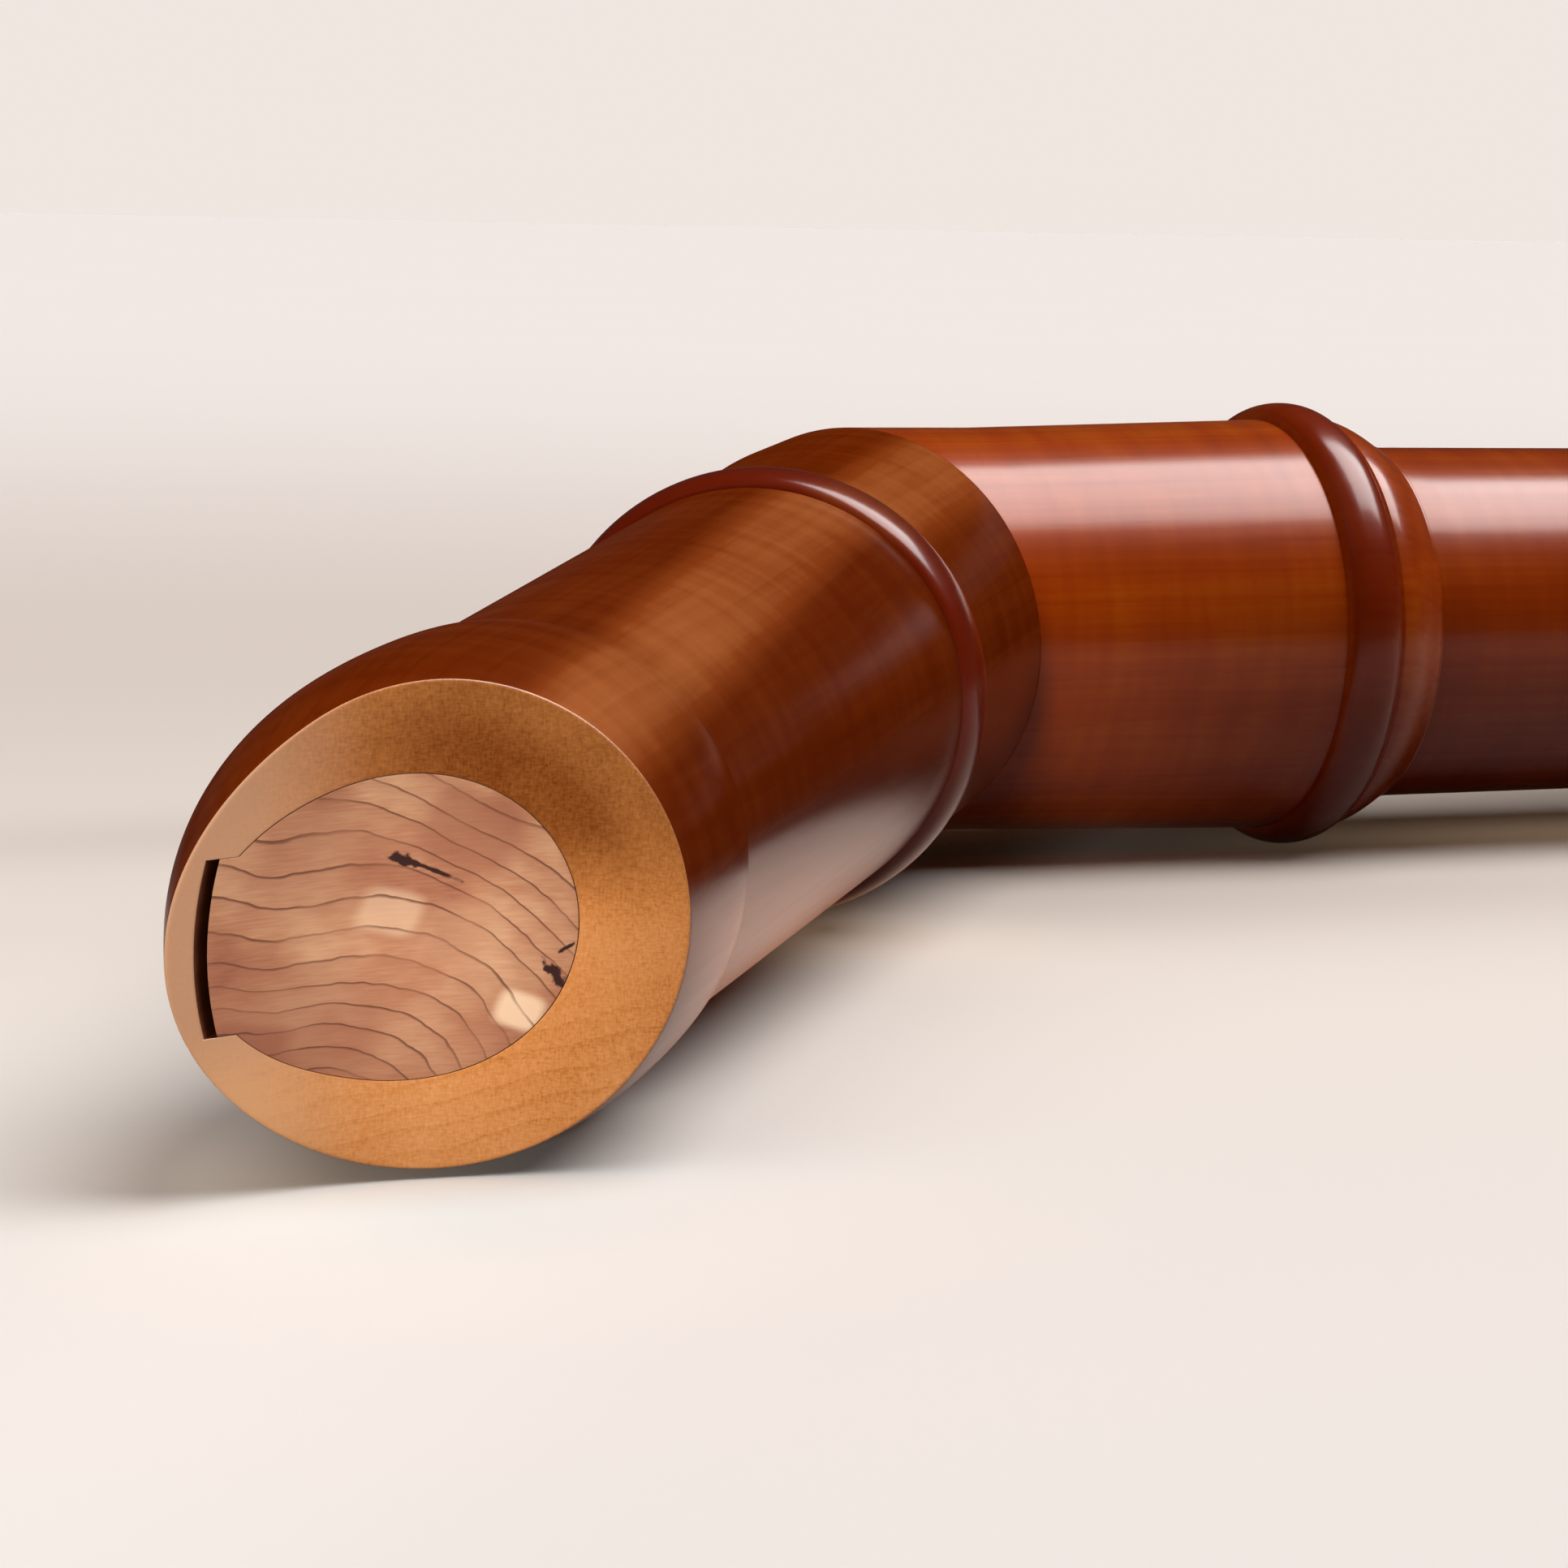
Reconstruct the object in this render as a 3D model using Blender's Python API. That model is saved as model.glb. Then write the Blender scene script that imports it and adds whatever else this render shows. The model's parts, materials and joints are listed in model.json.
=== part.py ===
"""A bent-neck bass recorder lying on its side, modelled as the separate pieces it is made of.

Units are metres and +Z is up. The middle joint's axis runs along X, from the knee to the foot,
and the finger holes face +Y. The head is built in a frame of its own, with X from the mitre to the
mouth and the windway on the -Y side.
"""

import math
from collections import namedtuple

import bmesh
import bpy
from mathutils import Matrix, Vector

# Clearances
FIT_GAP = 0.0003
GLUE_GAP = 0.0002
BLOCK_GAP = 0.0002

# Bend and knee
BEND_DEG = 57.2
KNEE_RADIUS = 0.0290
BORE_RADIUS = 0.0147
UPPER_KNEE_LENGTH = 0.0696
LOWER_KNEE_LENGTH = 0.0632
MITRE_MARGIN = 0.0012

# Bead ring at the end of the upper knee
BEAD_WIDTH = 0.0104
BEAD_HEIGHT = 0.0020

# Large ring and socket lip at the end of the lower knee
RING_BASE_RADIUS = 0.0302
RING_HEIGHT = 0.0025
RING_WIDTH = 0.0084
RING_GROOVE = 0.0006
LIP_LENGTH = 0.0082
LIP_WALL = 0.0055

# Neck, collar and beak
NECK_LENGTH = 0.1135
NECK_RADIUS_LOW = 0.0270
NECK_RADIUS_HIGH = 0.0237
NECK_TENON_LENGTH = 0.0250
NECK_TENON_RADIUS = 0.0200
COLLAR_RISE = 0.0015
COLLAR_PEAK_DISTANCE = 0.0160
BEAK_LENGTH = 0.0601
BEAK_TIP_RADIUS = 0.0169
BEAK_SPARE = 0.0018
BEAK_SPARE_DROP = 0.0007
LIP_SLOPE = 1.35
LIP_HEIGHT = 0.0099
BEAK_HEEL_DROP = 0.0320
BEAK_HEEL_SLOPE = 0.28

# Windway, window and labium
WINDWAY_WIDTH = 0.0166
WINDWAY_HEIGHT = 0.0009
WINDWAY_ARCH_RADIUS = 0.0460
WINDOW_BELOW_COLLAR = 0.0110
CUT_UP = 0.0105
RAMP_LENGTH = 0.0340
LABIUM_EDGE = 0.0006

# Middle joint
MIDDLE_LENGTH = 0.4050
MIDDLE_RADIUS_TOP = 0.0261
MIDDLE_RADIUS_LOW = 0.0247
TOP_TENON_LENGTH = 0.0400
TOP_TENON_RADIUS = 0.0209
LOW_TENON_LENGTH = 0.0340
LOW_TENON_RADIUS = 0.0175
MIDDLE_BORE_TOP = 0.0140
MIDDLE_BORE_LOW = 0.0114
CORK_THICKNESS = 0.0015
CORK_INSET = 0.0070

# Holes and fittings, as shares of the length of the middle joint, or of the foot, from its shoulder
THUMB_HOLE_SHARE = 0.148
FINGER_HOLE_SHARES = (0.2765, 0.3802, 0.6667, 0.7654)
KEY_3_SHARE = 0.5358
KEY_6_SHARE = 0.9111
STRAP_SHARE = 0.3259
THUMB_REST_SHARE = 0.7111
F_SHARP_SHARE = 0.2276
LOW_F_SHARE = 0.5280
FINGER_HOLE_RADIUS = 0.0044
THUMB_BUSH_RADIUS = 0.0060
THUMB_BUSH_WALL = 0.0016

# Foot
FOOT_LENGTH = 0.2197
FOOT_RADIUS = 0.0260
FOOT_RING_WIDTH = 0.0120
FOOT_END_RADIUS = 0.0264
FOOT_END_LENGTH = 0.0082
FOOT_BORE_TOP = 0.0112
FOOT_BORE_LOW = 0.0098
FOOT_BELL_RADIUS = 0.0115

# Keys
KEY_OPEN_DEG = 6.0
TOUCH_DISTANCE = 0.0270
F_SHARP_TOUCH_DISTANCE = 0.0180
BARREL_CUP_MARGIN = 0.0070
BARREL_TOUCH_MARGIN = 0.0088
BARREL_GAP = 0.0004
AXLE_SIDE_DEG = 62.0
AXLE_RADIUS = 0.0013
AXLE_LIFT = 0.0044
AXLE_HEAD_RADIUS = 0.0020
AXLE_HEAD_LENGTH = 0.0012
BARREL_RADIUS = 0.0029
ARM_LIFT = 0.0021
ARM_THICKNESS = 0.0022
ARM_WIDTH = 0.0060
TOUCH_RADIUS = 0.0075
TOUCH_THICKNESS = 0.0020
TOUCH_SIDE_DEG = 16.0
PAD_RADIUS = 0.0074
PAD_THICKNESS = 0.0020
CUP_WALL = 0.0008
CUP_ROOF = 0.0014
SEAT_DEPTH = 0.0014
SEAT_MARGIN = 0.0015
KEY_HOLE_RADIUS = 0.0050
POST_EYE_RADIUS = 0.0026
POST_STEM_RADIUS = 0.0015
POST_SHANK_LENGTH = 0.0050
POST_FLANGE_HEIGHT = 0.0006
NEEDLE_RADIUS = 0.0003
NEEDLE_LIFT = 0.00075
NEEDLE_RISE = 0.0007
NEEDLE_SIDE_DEG = 9.0

# Strap eye, strap ring and thumb rest on the back
STRAP_PLATE_LENGTH = 0.0220
STRAP_PLATE_SPREAD_DEG = 16.0
STRAP_PLATE_THICKNESS = 0.0016
STRAP_EYE_LIFT = 0.0052
STRAP_EYE_HOLE = 0.0020
STRAP_EYE_WALL = 0.0016
STRAP_EYE_WIDTH = 0.0030
STRAP_RING_RADIUS = 0.0095
STRAP_WIRE_RADIUS = 0.0012
THUMB_REST_LENGTH = 0.0400
THUMB_REST_SPREAD_DEG = 26.0
THUMB_REST_THICKNESS = 0.0020
THUMB_LEDGE_HEIGHT = 0.0150
THUMB_LEDGE_WIDTH = 0.0220
THUMB_LEDGE_THICKNESS = 0.0035
SCREW_HEAD_RADIUS = 0.0024
SCREW_HEAD_HEIGHT = 0.0012
SCREW_SHANK_RADIUS = 0.0011
SCREW_LENGTH = 0.0080
SCREW_INSET = 0.0042

# Facets
TURNED_STEPS = 40
SMALL_STEPS = 12
TINY_STEPS = 8

# Places that follow from the sizes above
BEND = math.radians(BEND_DEG)
FRONT = 0.0
BACK = math.pi
FLOOR_RADIUS = RING_BASE_RADIUS + RING_HEIGHT
COLLAR_START = UPPER_KNEE_LENGTH + NECK_LENGTH
COLLAR_PEAK = COLLAR_START + COLLAR_PEAK_DISTANCE
COLLAR_RADIUS = NECK_RADIUS_HIGH + COLLAR_RISE
BEAK_TIP = COLLAR_START + BEAK_LENGTH
BLOCK_LINE = COLLAR_START - WINDOW_BELOW_COLLAR
LABIUM = BLOCK_LINE - CUT_UP
ROOF = BORE_RADIUS + FIT_GAP
MITRE_STRAIGHT = KNEE_RADIUS * math.tan(BEND / 2) + MITRE_MARGIN
LIP_START = LOWER_KNEE_LENGTH + RING_WIDTH + RING_GROOVE
KNEE_END = LIP_START + LIP_LENGTH
MIDDLE_START = KNEE_END + FIT_GAP
MIDDLE_END = MIDDLE_START + MIDDLE_LENGTH
FOOT_START = MIDDLE_END + FIT_GAP
FOOT_END = FOOT_START + FOOT_LENGTH
AXLE_SIDE = math.radians(AXLE_SIDE_DEG)
KEY_OPEN = math.radians(KEY_OPEN_DEG)
THUMB_HOLE = THUMB_HOLE_SHARE * MIDDLE_LENGTH
FINGER_HOLES = [share * MIDDLE_LENGTH for share in FINGER_HOLE_SHARES]
STRAP_PLACE = STRAP_SHARE * MIDDLE_LENGTH
THUMB_REST_PLACE = THUMB_REST_SHARE * MIDDLE_LENGTH
KEY_3_CUP = KEY_3_SHARE * MIDDLE_LENGTH
KEY_6_CUP = KEY_6_SHARE * MIDDLE_LENGTH
F_SHARP_CUP = F_SHARP_SHARE * FOOT_LENGTH
F_SHARP_TOUCH = F_SHARP_CUP + F_SHARP_TOUCH_DISTANCE
LOW_F_TOUCH = F_SHARP_TOUCH + 2 * BARREL_TOUCH_MARGIN + BARREL_GAP
LOW_F_CUP = LOW_F_SHARE * FOOT_LENGTH

Key = namedtuple("Key", "name base cup touch start end body_radius needle_at_end")


def middle_radius(x):
    """Outside radius of the middle joint at a place along its axis."""
    share = (x - MIDDLE_START) / MIDDLE_LENGTH
    return MIDDLE_RADIUS_TOP + share * (MIDDLE_RADIUS_LOW - MIDDLE_RADIUS_TOP)


def foot_radius(x):
    """Outside radius of the foot where its keys sit."""
    return FOOT_RADIUS


def new_key(name, base, cup, touch, body_radius, needle_at_end=False):
    """A key with a barrel that reaches past its cup and its touch."""
    start = min(cup - BARREL_CUP_MARGIN, touch - BARREL_TOUCH_MARGIN)
    end = max(cup + BARREL_CUP_MARGIN, touch + BARREL_TOUCH_MARGIN)
    return Key(name, base, cup, touch, start, end, body_radius, needle_at_end)


KEYS = (
    new_key("key_hole_3", MIDDLE_START, KEY_3_CUP, KEY_3_CUP - TOUCH_DISTANCE, middle_radius),
    new_key("key_hole_6", MIDDLE_START, KEY_6_CUP, KEY_6_CUP - TOUCH_DISTANCE, middle_radius),
    new_key("key_f_sharp", FOOT_START, F_SHARP_CUP, F_SHARP_TOUCH, foot_radius),
    new_key("key_low_f", FOOT_START, LOW_F_CUP, LOW_F_TOUCH, foot_radius, needle_at_end=True),
)

Axle = namedtuple("Axle", "name base start end body_radius")

AXLES = (
    Axle("hole_3", KEYS[0].base, KEYS[0].start, KEYS[0].end, middle_radius),
    Axle("hole_6", KEYS[1].base, KEYS[1].start, KEYS[1].end, middle_radius),
    Axle("foot", KEYS[2].base, KEYS[2].start, KEYS[3].end, foot_radius),
)

Finish = namedtuple("Finish", "colour roughness metallic")

STAINED_PEAR = Finish((0.20, 0.045, 0.012, 1.0), 0.32, 0.0)
CEDAR = Finish((0.55, 0.30, 0.17, 1.0), 0.60, 0.0)
CORK = Finish((0.46, 0.28, 0.14, 1.0), 0.85, 0.0)
BRASS = Finish((0.72, 0.52, 0.22, 1.0), 0.28, 1.0)
STEEL = Finish((0.55, 0.55, 0.56, 1.0), 0.30, 1.0)
LEATHER = Finish((0.60, 0.48, 0.36, 1.0), 0.80, 0.0)
BONE = Finish((0.80, 0.74, 0.60, 1.0), 0.45, 0.0)


def clear_scene():
    """Remove every object of the open scene."""
    for thing in list(bpy.data.objects):
        bpy.data.objects.remove(thing, do_unlink=True)


def new_object(name, shape):
    """Make an object from a bmesh and link it."""
    mesh = bpy.data.meshes.new(name)
    shape.to_mesh(mesh)
    shape.free()
    thing = bpy.data.objects.new(name, mesh)
    bpy.context.scene.collection.objects.link(thing)
    return thing


def new_empty(name, parent, location, turn_x=0.0, turn_z=0.0):
    """Make an empty that carries pieces on a joint axis."""
    thing = bpy.data.objects.new(name, None)
    bpy.context.scene.collection.objects.link(thing)
    thing.parent = parent
    thing.location = location
    thing.rotation_euler = (turn_x, 0.0, turn_z)
    return thing


def polar(radius, angle):
    """Point (y, z) at a radius and an angle from the front."""
    return radius * math.cos(angle), radius * math.sin(angle)


def bezier(first, pull_first, pull_last, last, steps):
    """Points of a cubic curve, both ends included."""
    points = []
    for step in range(steps + 1):
        t = step / steps
        u = 1.0 - t
        weights = (u * u * u, 3 * u * u * t, 3 * u * t * t, t * t * t)
        corners = (first, pull_first, pull_last, last)
        points.append(tuple(sum(w * c[k] for w, c in zip(weights, corners)) for k in range(2)))
    return points


def bead(start, end, base_start, base_end, height, steps):
    """Half-round bead on a sloping base, both ends included."""
    points = []
    for step in range(steps + 1):
        angle = math.pi * step / steps
        share = 0.5 - 0.5 * math.cos(angle)
        base = base_start + share * (base_end - base_start)
        points.append((start + share * (end - start), base + height * math.sin(angle)))
    return points


def turned(name, outline, steps=TURNED_STEPS):
    """Turn an (x, radius) outline about X. An outline off the axis closes into a ring."""
    shape = bmesh.new()
    points = [shape.verts.new((x, radius, 0.0)) for x, radius in outline]
    pairs = list(zip(points, points[1:]))
    if min(radius for _, radius in outline) > 0.0:
        pairs.append((points[-1], points[0]))
    edges = [shape.edges.new(pair) for pair in pairs]
    bmesh.ops.spin(shape, geom=points + edges, cent=(0, 0, 0), axis=(1, 0, 0), angle=math.tau, steps=steps,
                   use_merge=True)
    bmesh.ops.remove_doubles(shape, verts=shape.verts, dist=1e-6)
    bmesh.ops.recalc_face_normals(shape, faces=shape.faces)
    return new_object(name, shape)


def prism(name, outline, axis, low, high):
    """Extrude an outline along X, with (y, z) points, or along Z, with (x, y) points."""
    shape = bmesh.new()
    if axis == "X":
        corners = [shape.verts.new((low, a, b)) for a, b in outline]
        travel = Vector((high - low, 0.0, 0.0))
    else:
        corners = [shape.verts.new((a, b, low)) for a, b in outline]
        travel = Vector((0.0, 0.0, high - low))
    face = shape.faces.new(corners)
    grown = bmesh.ops.extrude_face_region(shape, geom=[face])
    moved = [item for item in grown["geom"] if isinstance(item, bmesh.types.BMVert)]
    bmesh.ops.translate(shape, verts=moved, vec=travel)
    bmesh.ops.recalc_face_normals(shape, faces=shape.faces)
    return new_object(name, shape)


def rod(name, start, end, radius, steps=SMALL_STEPS):
    """Round rod between two points."""
    first = Vector(start)
    span = Vector(end) - first
    place = Matrix.Translation(first + span / 2) @ span.to_track_quat("Z", "Y").to_matrix().to_4x4()
    shape = bmesh.new()
    bmesh.ops.create_cone(shape, cap_ends=True, segments=steps, radius1=radius, radius2=radius,
                          depth=span.length, matrix=place)
    return new_object(name, shape)


def radial_rod(name, x, angle, low, high, radius, steps=SMALL_STEPS):
    """Round rod that points away from the middle axis."""
    return rod(name, (x, *polar(low, angle)), (x, *polar(high, angle)), radius, steps)


def strip_outline(low, high, from_angle, to_angle, steps):
    """Outline (y, z) of a strip bent round the axis."""
    angles = [from_angle + (to_angle - from_angle) * k / steps for k in range(steps + 1)]
    return [polar(high, angle) for angle in angles] + [polar(low, angle) for angle in reversed(angles)]


def combine(target, tool, operation):
    """Join or cut a piece with a tool, which is used up."""
    modifier = target.modifiers.new("shape", "BOOLEAN")
    modifier.operation = operation
    modifier.solver = "EXACT"
    modifier.object = tool
    graph = bpy.context.evaluated_depsgraph_get()
    shaped = bpy.data.meshes.new_from_object(target.evaluated_get(graph))
    old = target.data
    target.modifiers.clear()
    target.data = shaped
    bpy.data.meshes.remove(old)
    bpy.data.objects.remove(tool, do_unlink=True)
    return target


def cut(target, tool):
    """Take a tool's shape out of a piece."""
    return combine(target, tool, "DIFFERENCE")


def add(target, tool):
    """Join a tool's shape to a piece."""
    return combine(target, tool, "UNION")


def trim(thing, point, normal):
    """Cut a tube off at a plane, keep the side the normal points away from, and close the cut."""
    shape = bmesh.new()
    shape.from_mesh(thing.data)
    everything = shape.verts[:] + shape.edges[:] + shape.faces[:]
    bmesh.ops.bisect_plane(shape, geom=everything, plane_co=point, plane_no=normal, clear_outer=True)
    rims = [edge for edge in shape.edges if edge.is_boundary]
    bmesh.ops.bridge_loops(shape, edges=rims)
    bmesh.ops.recalc_face_normals(shape, faces=shape.faces)
    shape.to_mesh(thing.data)
    shape.free()
    return thing


def settle(thing, parent, finish, offset=(0.0, 0.0, 0.0)):
    """Give a piece its finish, put its mesh about its origin and hang it on its parent."""
    thing.data.transform(Matrix.Translation(-Vector(offset)))
    thing.parent = parent
    thing.data.shade_smooth()
    thing.data.set_sharp_from_angle(angle=math.radians(32))
    material = bpy.data.materials.new(thing.name)
    material.use_nodes = True
    shader = material.node_tree.nodes["Principled BSDF"]
    shader.inputs["Base Color"].default_value = finish.colour
    shader.inputs["Roughness"].default_value = finish.roughness
    shader.inputs["Metallic"].default_value = finish.metallic
    thing.data.materials.clear()
    thing.data.materials.append(material)
    return thing


def arch_outline(crown, half_width, bottom):
    """Outline (y, z) in the head frame of a channel with an arched top on the -Y side."""
    points = []
    for step in range(9):
        z = half_width * (step / 4 - 1)
        points.append((-(crown - z * z / (2 * WINDWAY_ARCH_RADIUS)), z))
    return points + [(-bottom, half_width), (-bottom, -half_width)]


def beak_cutter():
    """Solid that takes the mouth's hollow slant off the head and the block."""
    knee = (BEAK_TIP - LIP_SLOPE * LIP_HEIGHT, BEAK_TIP_RADIUS - LIP_HEIGHT)
    heel = (BEAK_TIP - BEAK_HEEL_DROP, -COLLAR_RADIUS - LIP_WALL)
    bow = BEAK_TIP_RADIUS / 2
    reach = 0.7 * COLLAR_RADIUS / 1.5
    tip = (BEAK_TIP + LIP_SLOPE * LIP_HEIGHT, BEAK_TIP_RADIUS + LIP_HEIGHT)
    pull_knee = (knee[0] - LIP_SLOPE * bow, knee[1] - bow)
    pull_heel = (heel[0] + BEAK_HEEL_SLOPE * reach, heel[1] + reach)
    curve = [tip] + bezier(knee, pull_knee, pull_heel, heel, 10)
    clear = BEAK_TIP + BEAK_LENGTH
    outline = [(x, -front) for x, front in curve] + [(clear, -heel[1]), (clear, -tip[1])]
    return prism("beak_cutter", outline, "Z", -COLLAR_RADIUS - LIP_WALL, COLLAR_RADIUS + LIP_WALL)


def collar_outline():
    """Outside of the collar and beak, from its crease with the neck to past the tip."""
    crease = (COLLAR_START, NECK_RADIUS_HIGH)
    peak = (COLLAR_PEAK, COLLAR_RADIUS)
    end = (BEAK_TIP + BEAK_SPARE, BEAK_TIP_RADIUS - BEAK_SPARE_DROP)
    span = end[0] - peak[0]
    slope = 0.37
    back = 0.39 * span
    rise = bezier(crease, (COLLAR_START + 0.1 * COLLAR_PEAK_DISTANCE, COLLAR_RADIUS - 0.2 * COLLAR_RISE),
                  (COLLAR_START + 0.5 * COLLAR_PEAK_DISTANCE, COLLAR_RADIUS), peak, 4)
    fall = bezier(peak, (peak[0] + 0.48 * span, peak[1]), (end[0] - back, end[1] + slope * back), end, 8)
    return rise + fall[1:]


def make_head_joint(parent):
    """Beak, collar and neck with windway, window, labium and bore."""
    tenon_end = UPPER_KNEE_LENGTH - NECK_TENON_LENGTH
    shoulder = UPPER_KNEE_LENGTH + GLUE_GAP
    outside = [(tenon_end, NECK_TENON_RADIUS), (shoulder, NECK_TENON_RADIUS), (shoulder, NECK_RADIUS_LOW)]
    outside += collar_outline()
    inside = [(outside[-1][0], BORE_RADIUS), (tenon_end, BORE_RADIUS)]
    head = turned("head_joint", outside + inside)
    half = WINDWAY_WIDTH / 2
    far = BEAK_TIP + BEAK_LENGTH
    high = COLLAR_RADIUS + LIP_HEIGHT
    cut(head, prism("windway", arch_outline(ROOF, half, BORE_RADIUS / 2), "X", BLOCK_LINE - CUT_UP / 2, far))
    low = BORE_RADIUS / 2
    window = [(LABIUM, -low), (BLOCK_LINE, -low), (BLOCK_LINE, -high), (LABIUM, -high)]
    cut(head, prism("window", window, "Z", -half, half))
    ramp_top = NECK_RADIUS_HIGH + LIP_WALL
    edge = ROOF + LABIUM_EDGE
    run = RAMP_LENGTH * (ramp_top - edge) / (NECK_RADIUS_HIGH - edge)
    ramp = [(LABIUM + CUT_UP / 2, -edge), (LABIUM + CUT_UP / 2, -high), (LABIUM - run, -high)]
    ramp += [(LABIUM - run, -ramp_top), (LABIUM, -edge)]
    cut(head, prism("ramp", ramp, "Z", -half, half))
    cut(head, beak_cutter())
    return settle(head, parent, STAINED_PEAR)


def make_block(parent):
    """Cedar block with the raised windway floor, cut to the beak's slant."""
    radius = BORE_RADIUS - BLOCK_GAP
    far = BEAK_TIP + BEAK_SPARE
    block = rod("block", (BLOCK_LINE, 0, 0), (far, 0, 0), radius, TURNED_STEPS)
    floor = arch_outline(ROOF - WINDWAY_HEIGHT, WINDWAY_WIDTH / 2 - BLOCK_GAP, BORE_RADIUS / 2)
    runway = prism("runway", floor, "X", BLOCK_LINE, far)
    trim_top = [(-BORE_RADIUS / 2, -BORE_RADIUS), (-BORE_RADIUS / 2, BORE_RADIUS)]
    trim_top += [(-2 * BORE_RADIUS, BORE_RADIUS), (-2 * BORE_RADIUS, -BORE_RADIUS)]
    crown = prism("crown", trim_top, "X", BLOCK_LINE - CUT_UP, far + CUT_UP)
    keep = arch_outline(ROOF - WINDWAY_HEIGHT, BORE_RADIUS + BLOCK_GAP, 0.0)
    cut(crown, prism("keep", keep, "X", BLOCK_LINE - 2 * CUT_UP, far + 2 * CUT_UP))
    add(block, runway)
    cut(block, crown)
    cut(block, beak_cutter())
    return settle(block, parent, CEDAR)


def make_knee_upper(parent):
    """Mitred piece with the bead ring, glued over the neck's tenon."""
    ring_start = UPPER_KNEE_LENGTH - BEAD_WIDTH
    socket_end = UPPER_KNEE_LENGTH - NECK_TENON_LENGTH - GLUE_GAP
    socket = NECK_TENON_RADIUS + GLUE_GAP
    past = -2 * MITRE_STRAIGHT
    base = KNEE_RADIUS + (NECK_RADIUS_LOW - KNEE_RADIUS) * 0.85
    outside = [(past, KNEE_RADIUS), (MITRE_STRAIGHT, KNEE_RADIUS)]
    outside += bead(ring_start, UPPER_KNEE_LENGTH, base, NECK_RADIUS_LOW, BEAD_HEIGHT, 6)
    inside = [(UPPER_KNEE_LENGTH, socket), (socket_end, socket)]
    inside += [(socket_end, BORE_RADIUS), (past, BORE_RADIUS)]
    knee = turned("knee_upper", outside + inside)
    normal = Vector((-math.cos(BEND / 2), math.sin(BEND / 2), 0.0))
    trim(knee, -normal * GLUE_GAP / 2, normal)
    return settle(knee, parent, STAINED_PEAR)


def make_knee_lower(parent):
    """Mitred piece with the large ring and the socket of the middle joint."""
    past = -2 * MITRE_STRAIGHT
    ring_end = LOWER_KNEE_LENGTH + RING_WIDTH
    socket = TOP_TENON_RADIUS + 2 * FIT_GAP
    socket_end = MIDDLE_START - TOP_TENON_LENGTH - FIT_GAP
    lip = socket + LIP_WALL
    outside = [(past, KNEE_RADIUS), (MITRE_STRAIGHT, KNEE_RADIUS)]
    outside += bead(LOWER_KNEE_LENGTH, ring_end, RING_BASE_RADIUS, RING_BASE_RADIUS, RING_HEIGHT, 6)
    outside += bezier((LIP_START, RING_BASE_RADIUS + 0.15 * RING_HEIGHT),
                      (LIP_START + 0.35 * LIP_LENGTH, RING_BASE_RADIUS + 0.1 * RING_HEIGHT),
                      (LIP_START + 0.70 * LIP_LENGTH, 0.65 * lip + 0.35 * RING_BASE_RADIUS), (KNEE_END, lip), 6)
    inside = [(KNEE_END, socket), (socket_end, socket), (socket_end, BORE_RADIUS), (past, BORE_RADIUS)]
    knee = turned("knee_lower", outside + inside)
    normal = Vector((-math.cos(BEND / 2), -math.sin(BEND / 2), 0.0))
    trim(knee, -normal * GLUE_GAP / 2, normal)
    return settle(knee, parent, STAINED_PEAR)


def tenon_outline(shoulder, end, radius):
    """Outside of a tenon from its shoulder to its end, with the recess for its cork."""
    way = 1.0 if end > shoulder else -1.0
    deep = radius - CORK_THICKNESS
    first = shoulder + way * CORK_INSET
    last = end - way * CORK_INSET
    return [(shoulder, radius), (first, radius), (first, deep), (last, deep), (last, radius), (end, radius)]


def make_cork(name, shoulder, end, radius, parent):
    """Cork sleeve in a tenon's recess."""
    way = 1.0 if end > shoulder else -1.0
    first = shoulder + way * (CORK_INSET + FIT_GAP)
    last = end - way * (CORK_INSET + FIT_GAP)
    low = radius - CORK_THICKNESS + FIT_GAP / 2
    high = radius + FIT_GAP
    sleeve = turned(name, [(first, high), (last, high), (last, low), (first, low)], TURNED_STEPS)
    return settle(sleeve, parent, CORK)


def key_holes(body, key):
    """Cut a key's tone hole and flat pad seat into the body under it."""
    x = key.base + key.cup
    seat = key.body_radius(x) - SEAT_DEPTH
    high = 2 * key.body_radius(x)
    cut(body, radial_rod("hole", x, FRONT, 0.0, high, KEY_HOLE_RADIUS))
    cut(body, radial_rod("seat", x, FRONT, seat, high, PAD_RADIUS + SEAT_MARGIN, 2 * SMALL_STEPS))


def post_places(axle):
    """Places along the axis of an axle's two posts."""
    reach = POST_EYE_RADIUS + FIT_GAP
    return axle.base + axle.start - reach, axle.base + axle.end + reach


def post_holes(body, axle):
    """Cut the two blind holes of an axle's posts."""
    for x in post_places(axle):
        radius = axle.body_radius(x)
        low = radius - POST_SHANK_LENGTH - FIT_GAP
        cut(body, radial_rod("hole", x, AXLE_SIDE, low, 2 * radius, POST_STEM_RADIUS + FIT_GAP, TINY_STEPS))


def screw_places(place, length):
    """Places along the axis of a back plate's two screws."""
    x = MIDDLE_START + place
    return x - length / 2 + SCREW_INSET, x + length / 2 - SCREW_INSET


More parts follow.
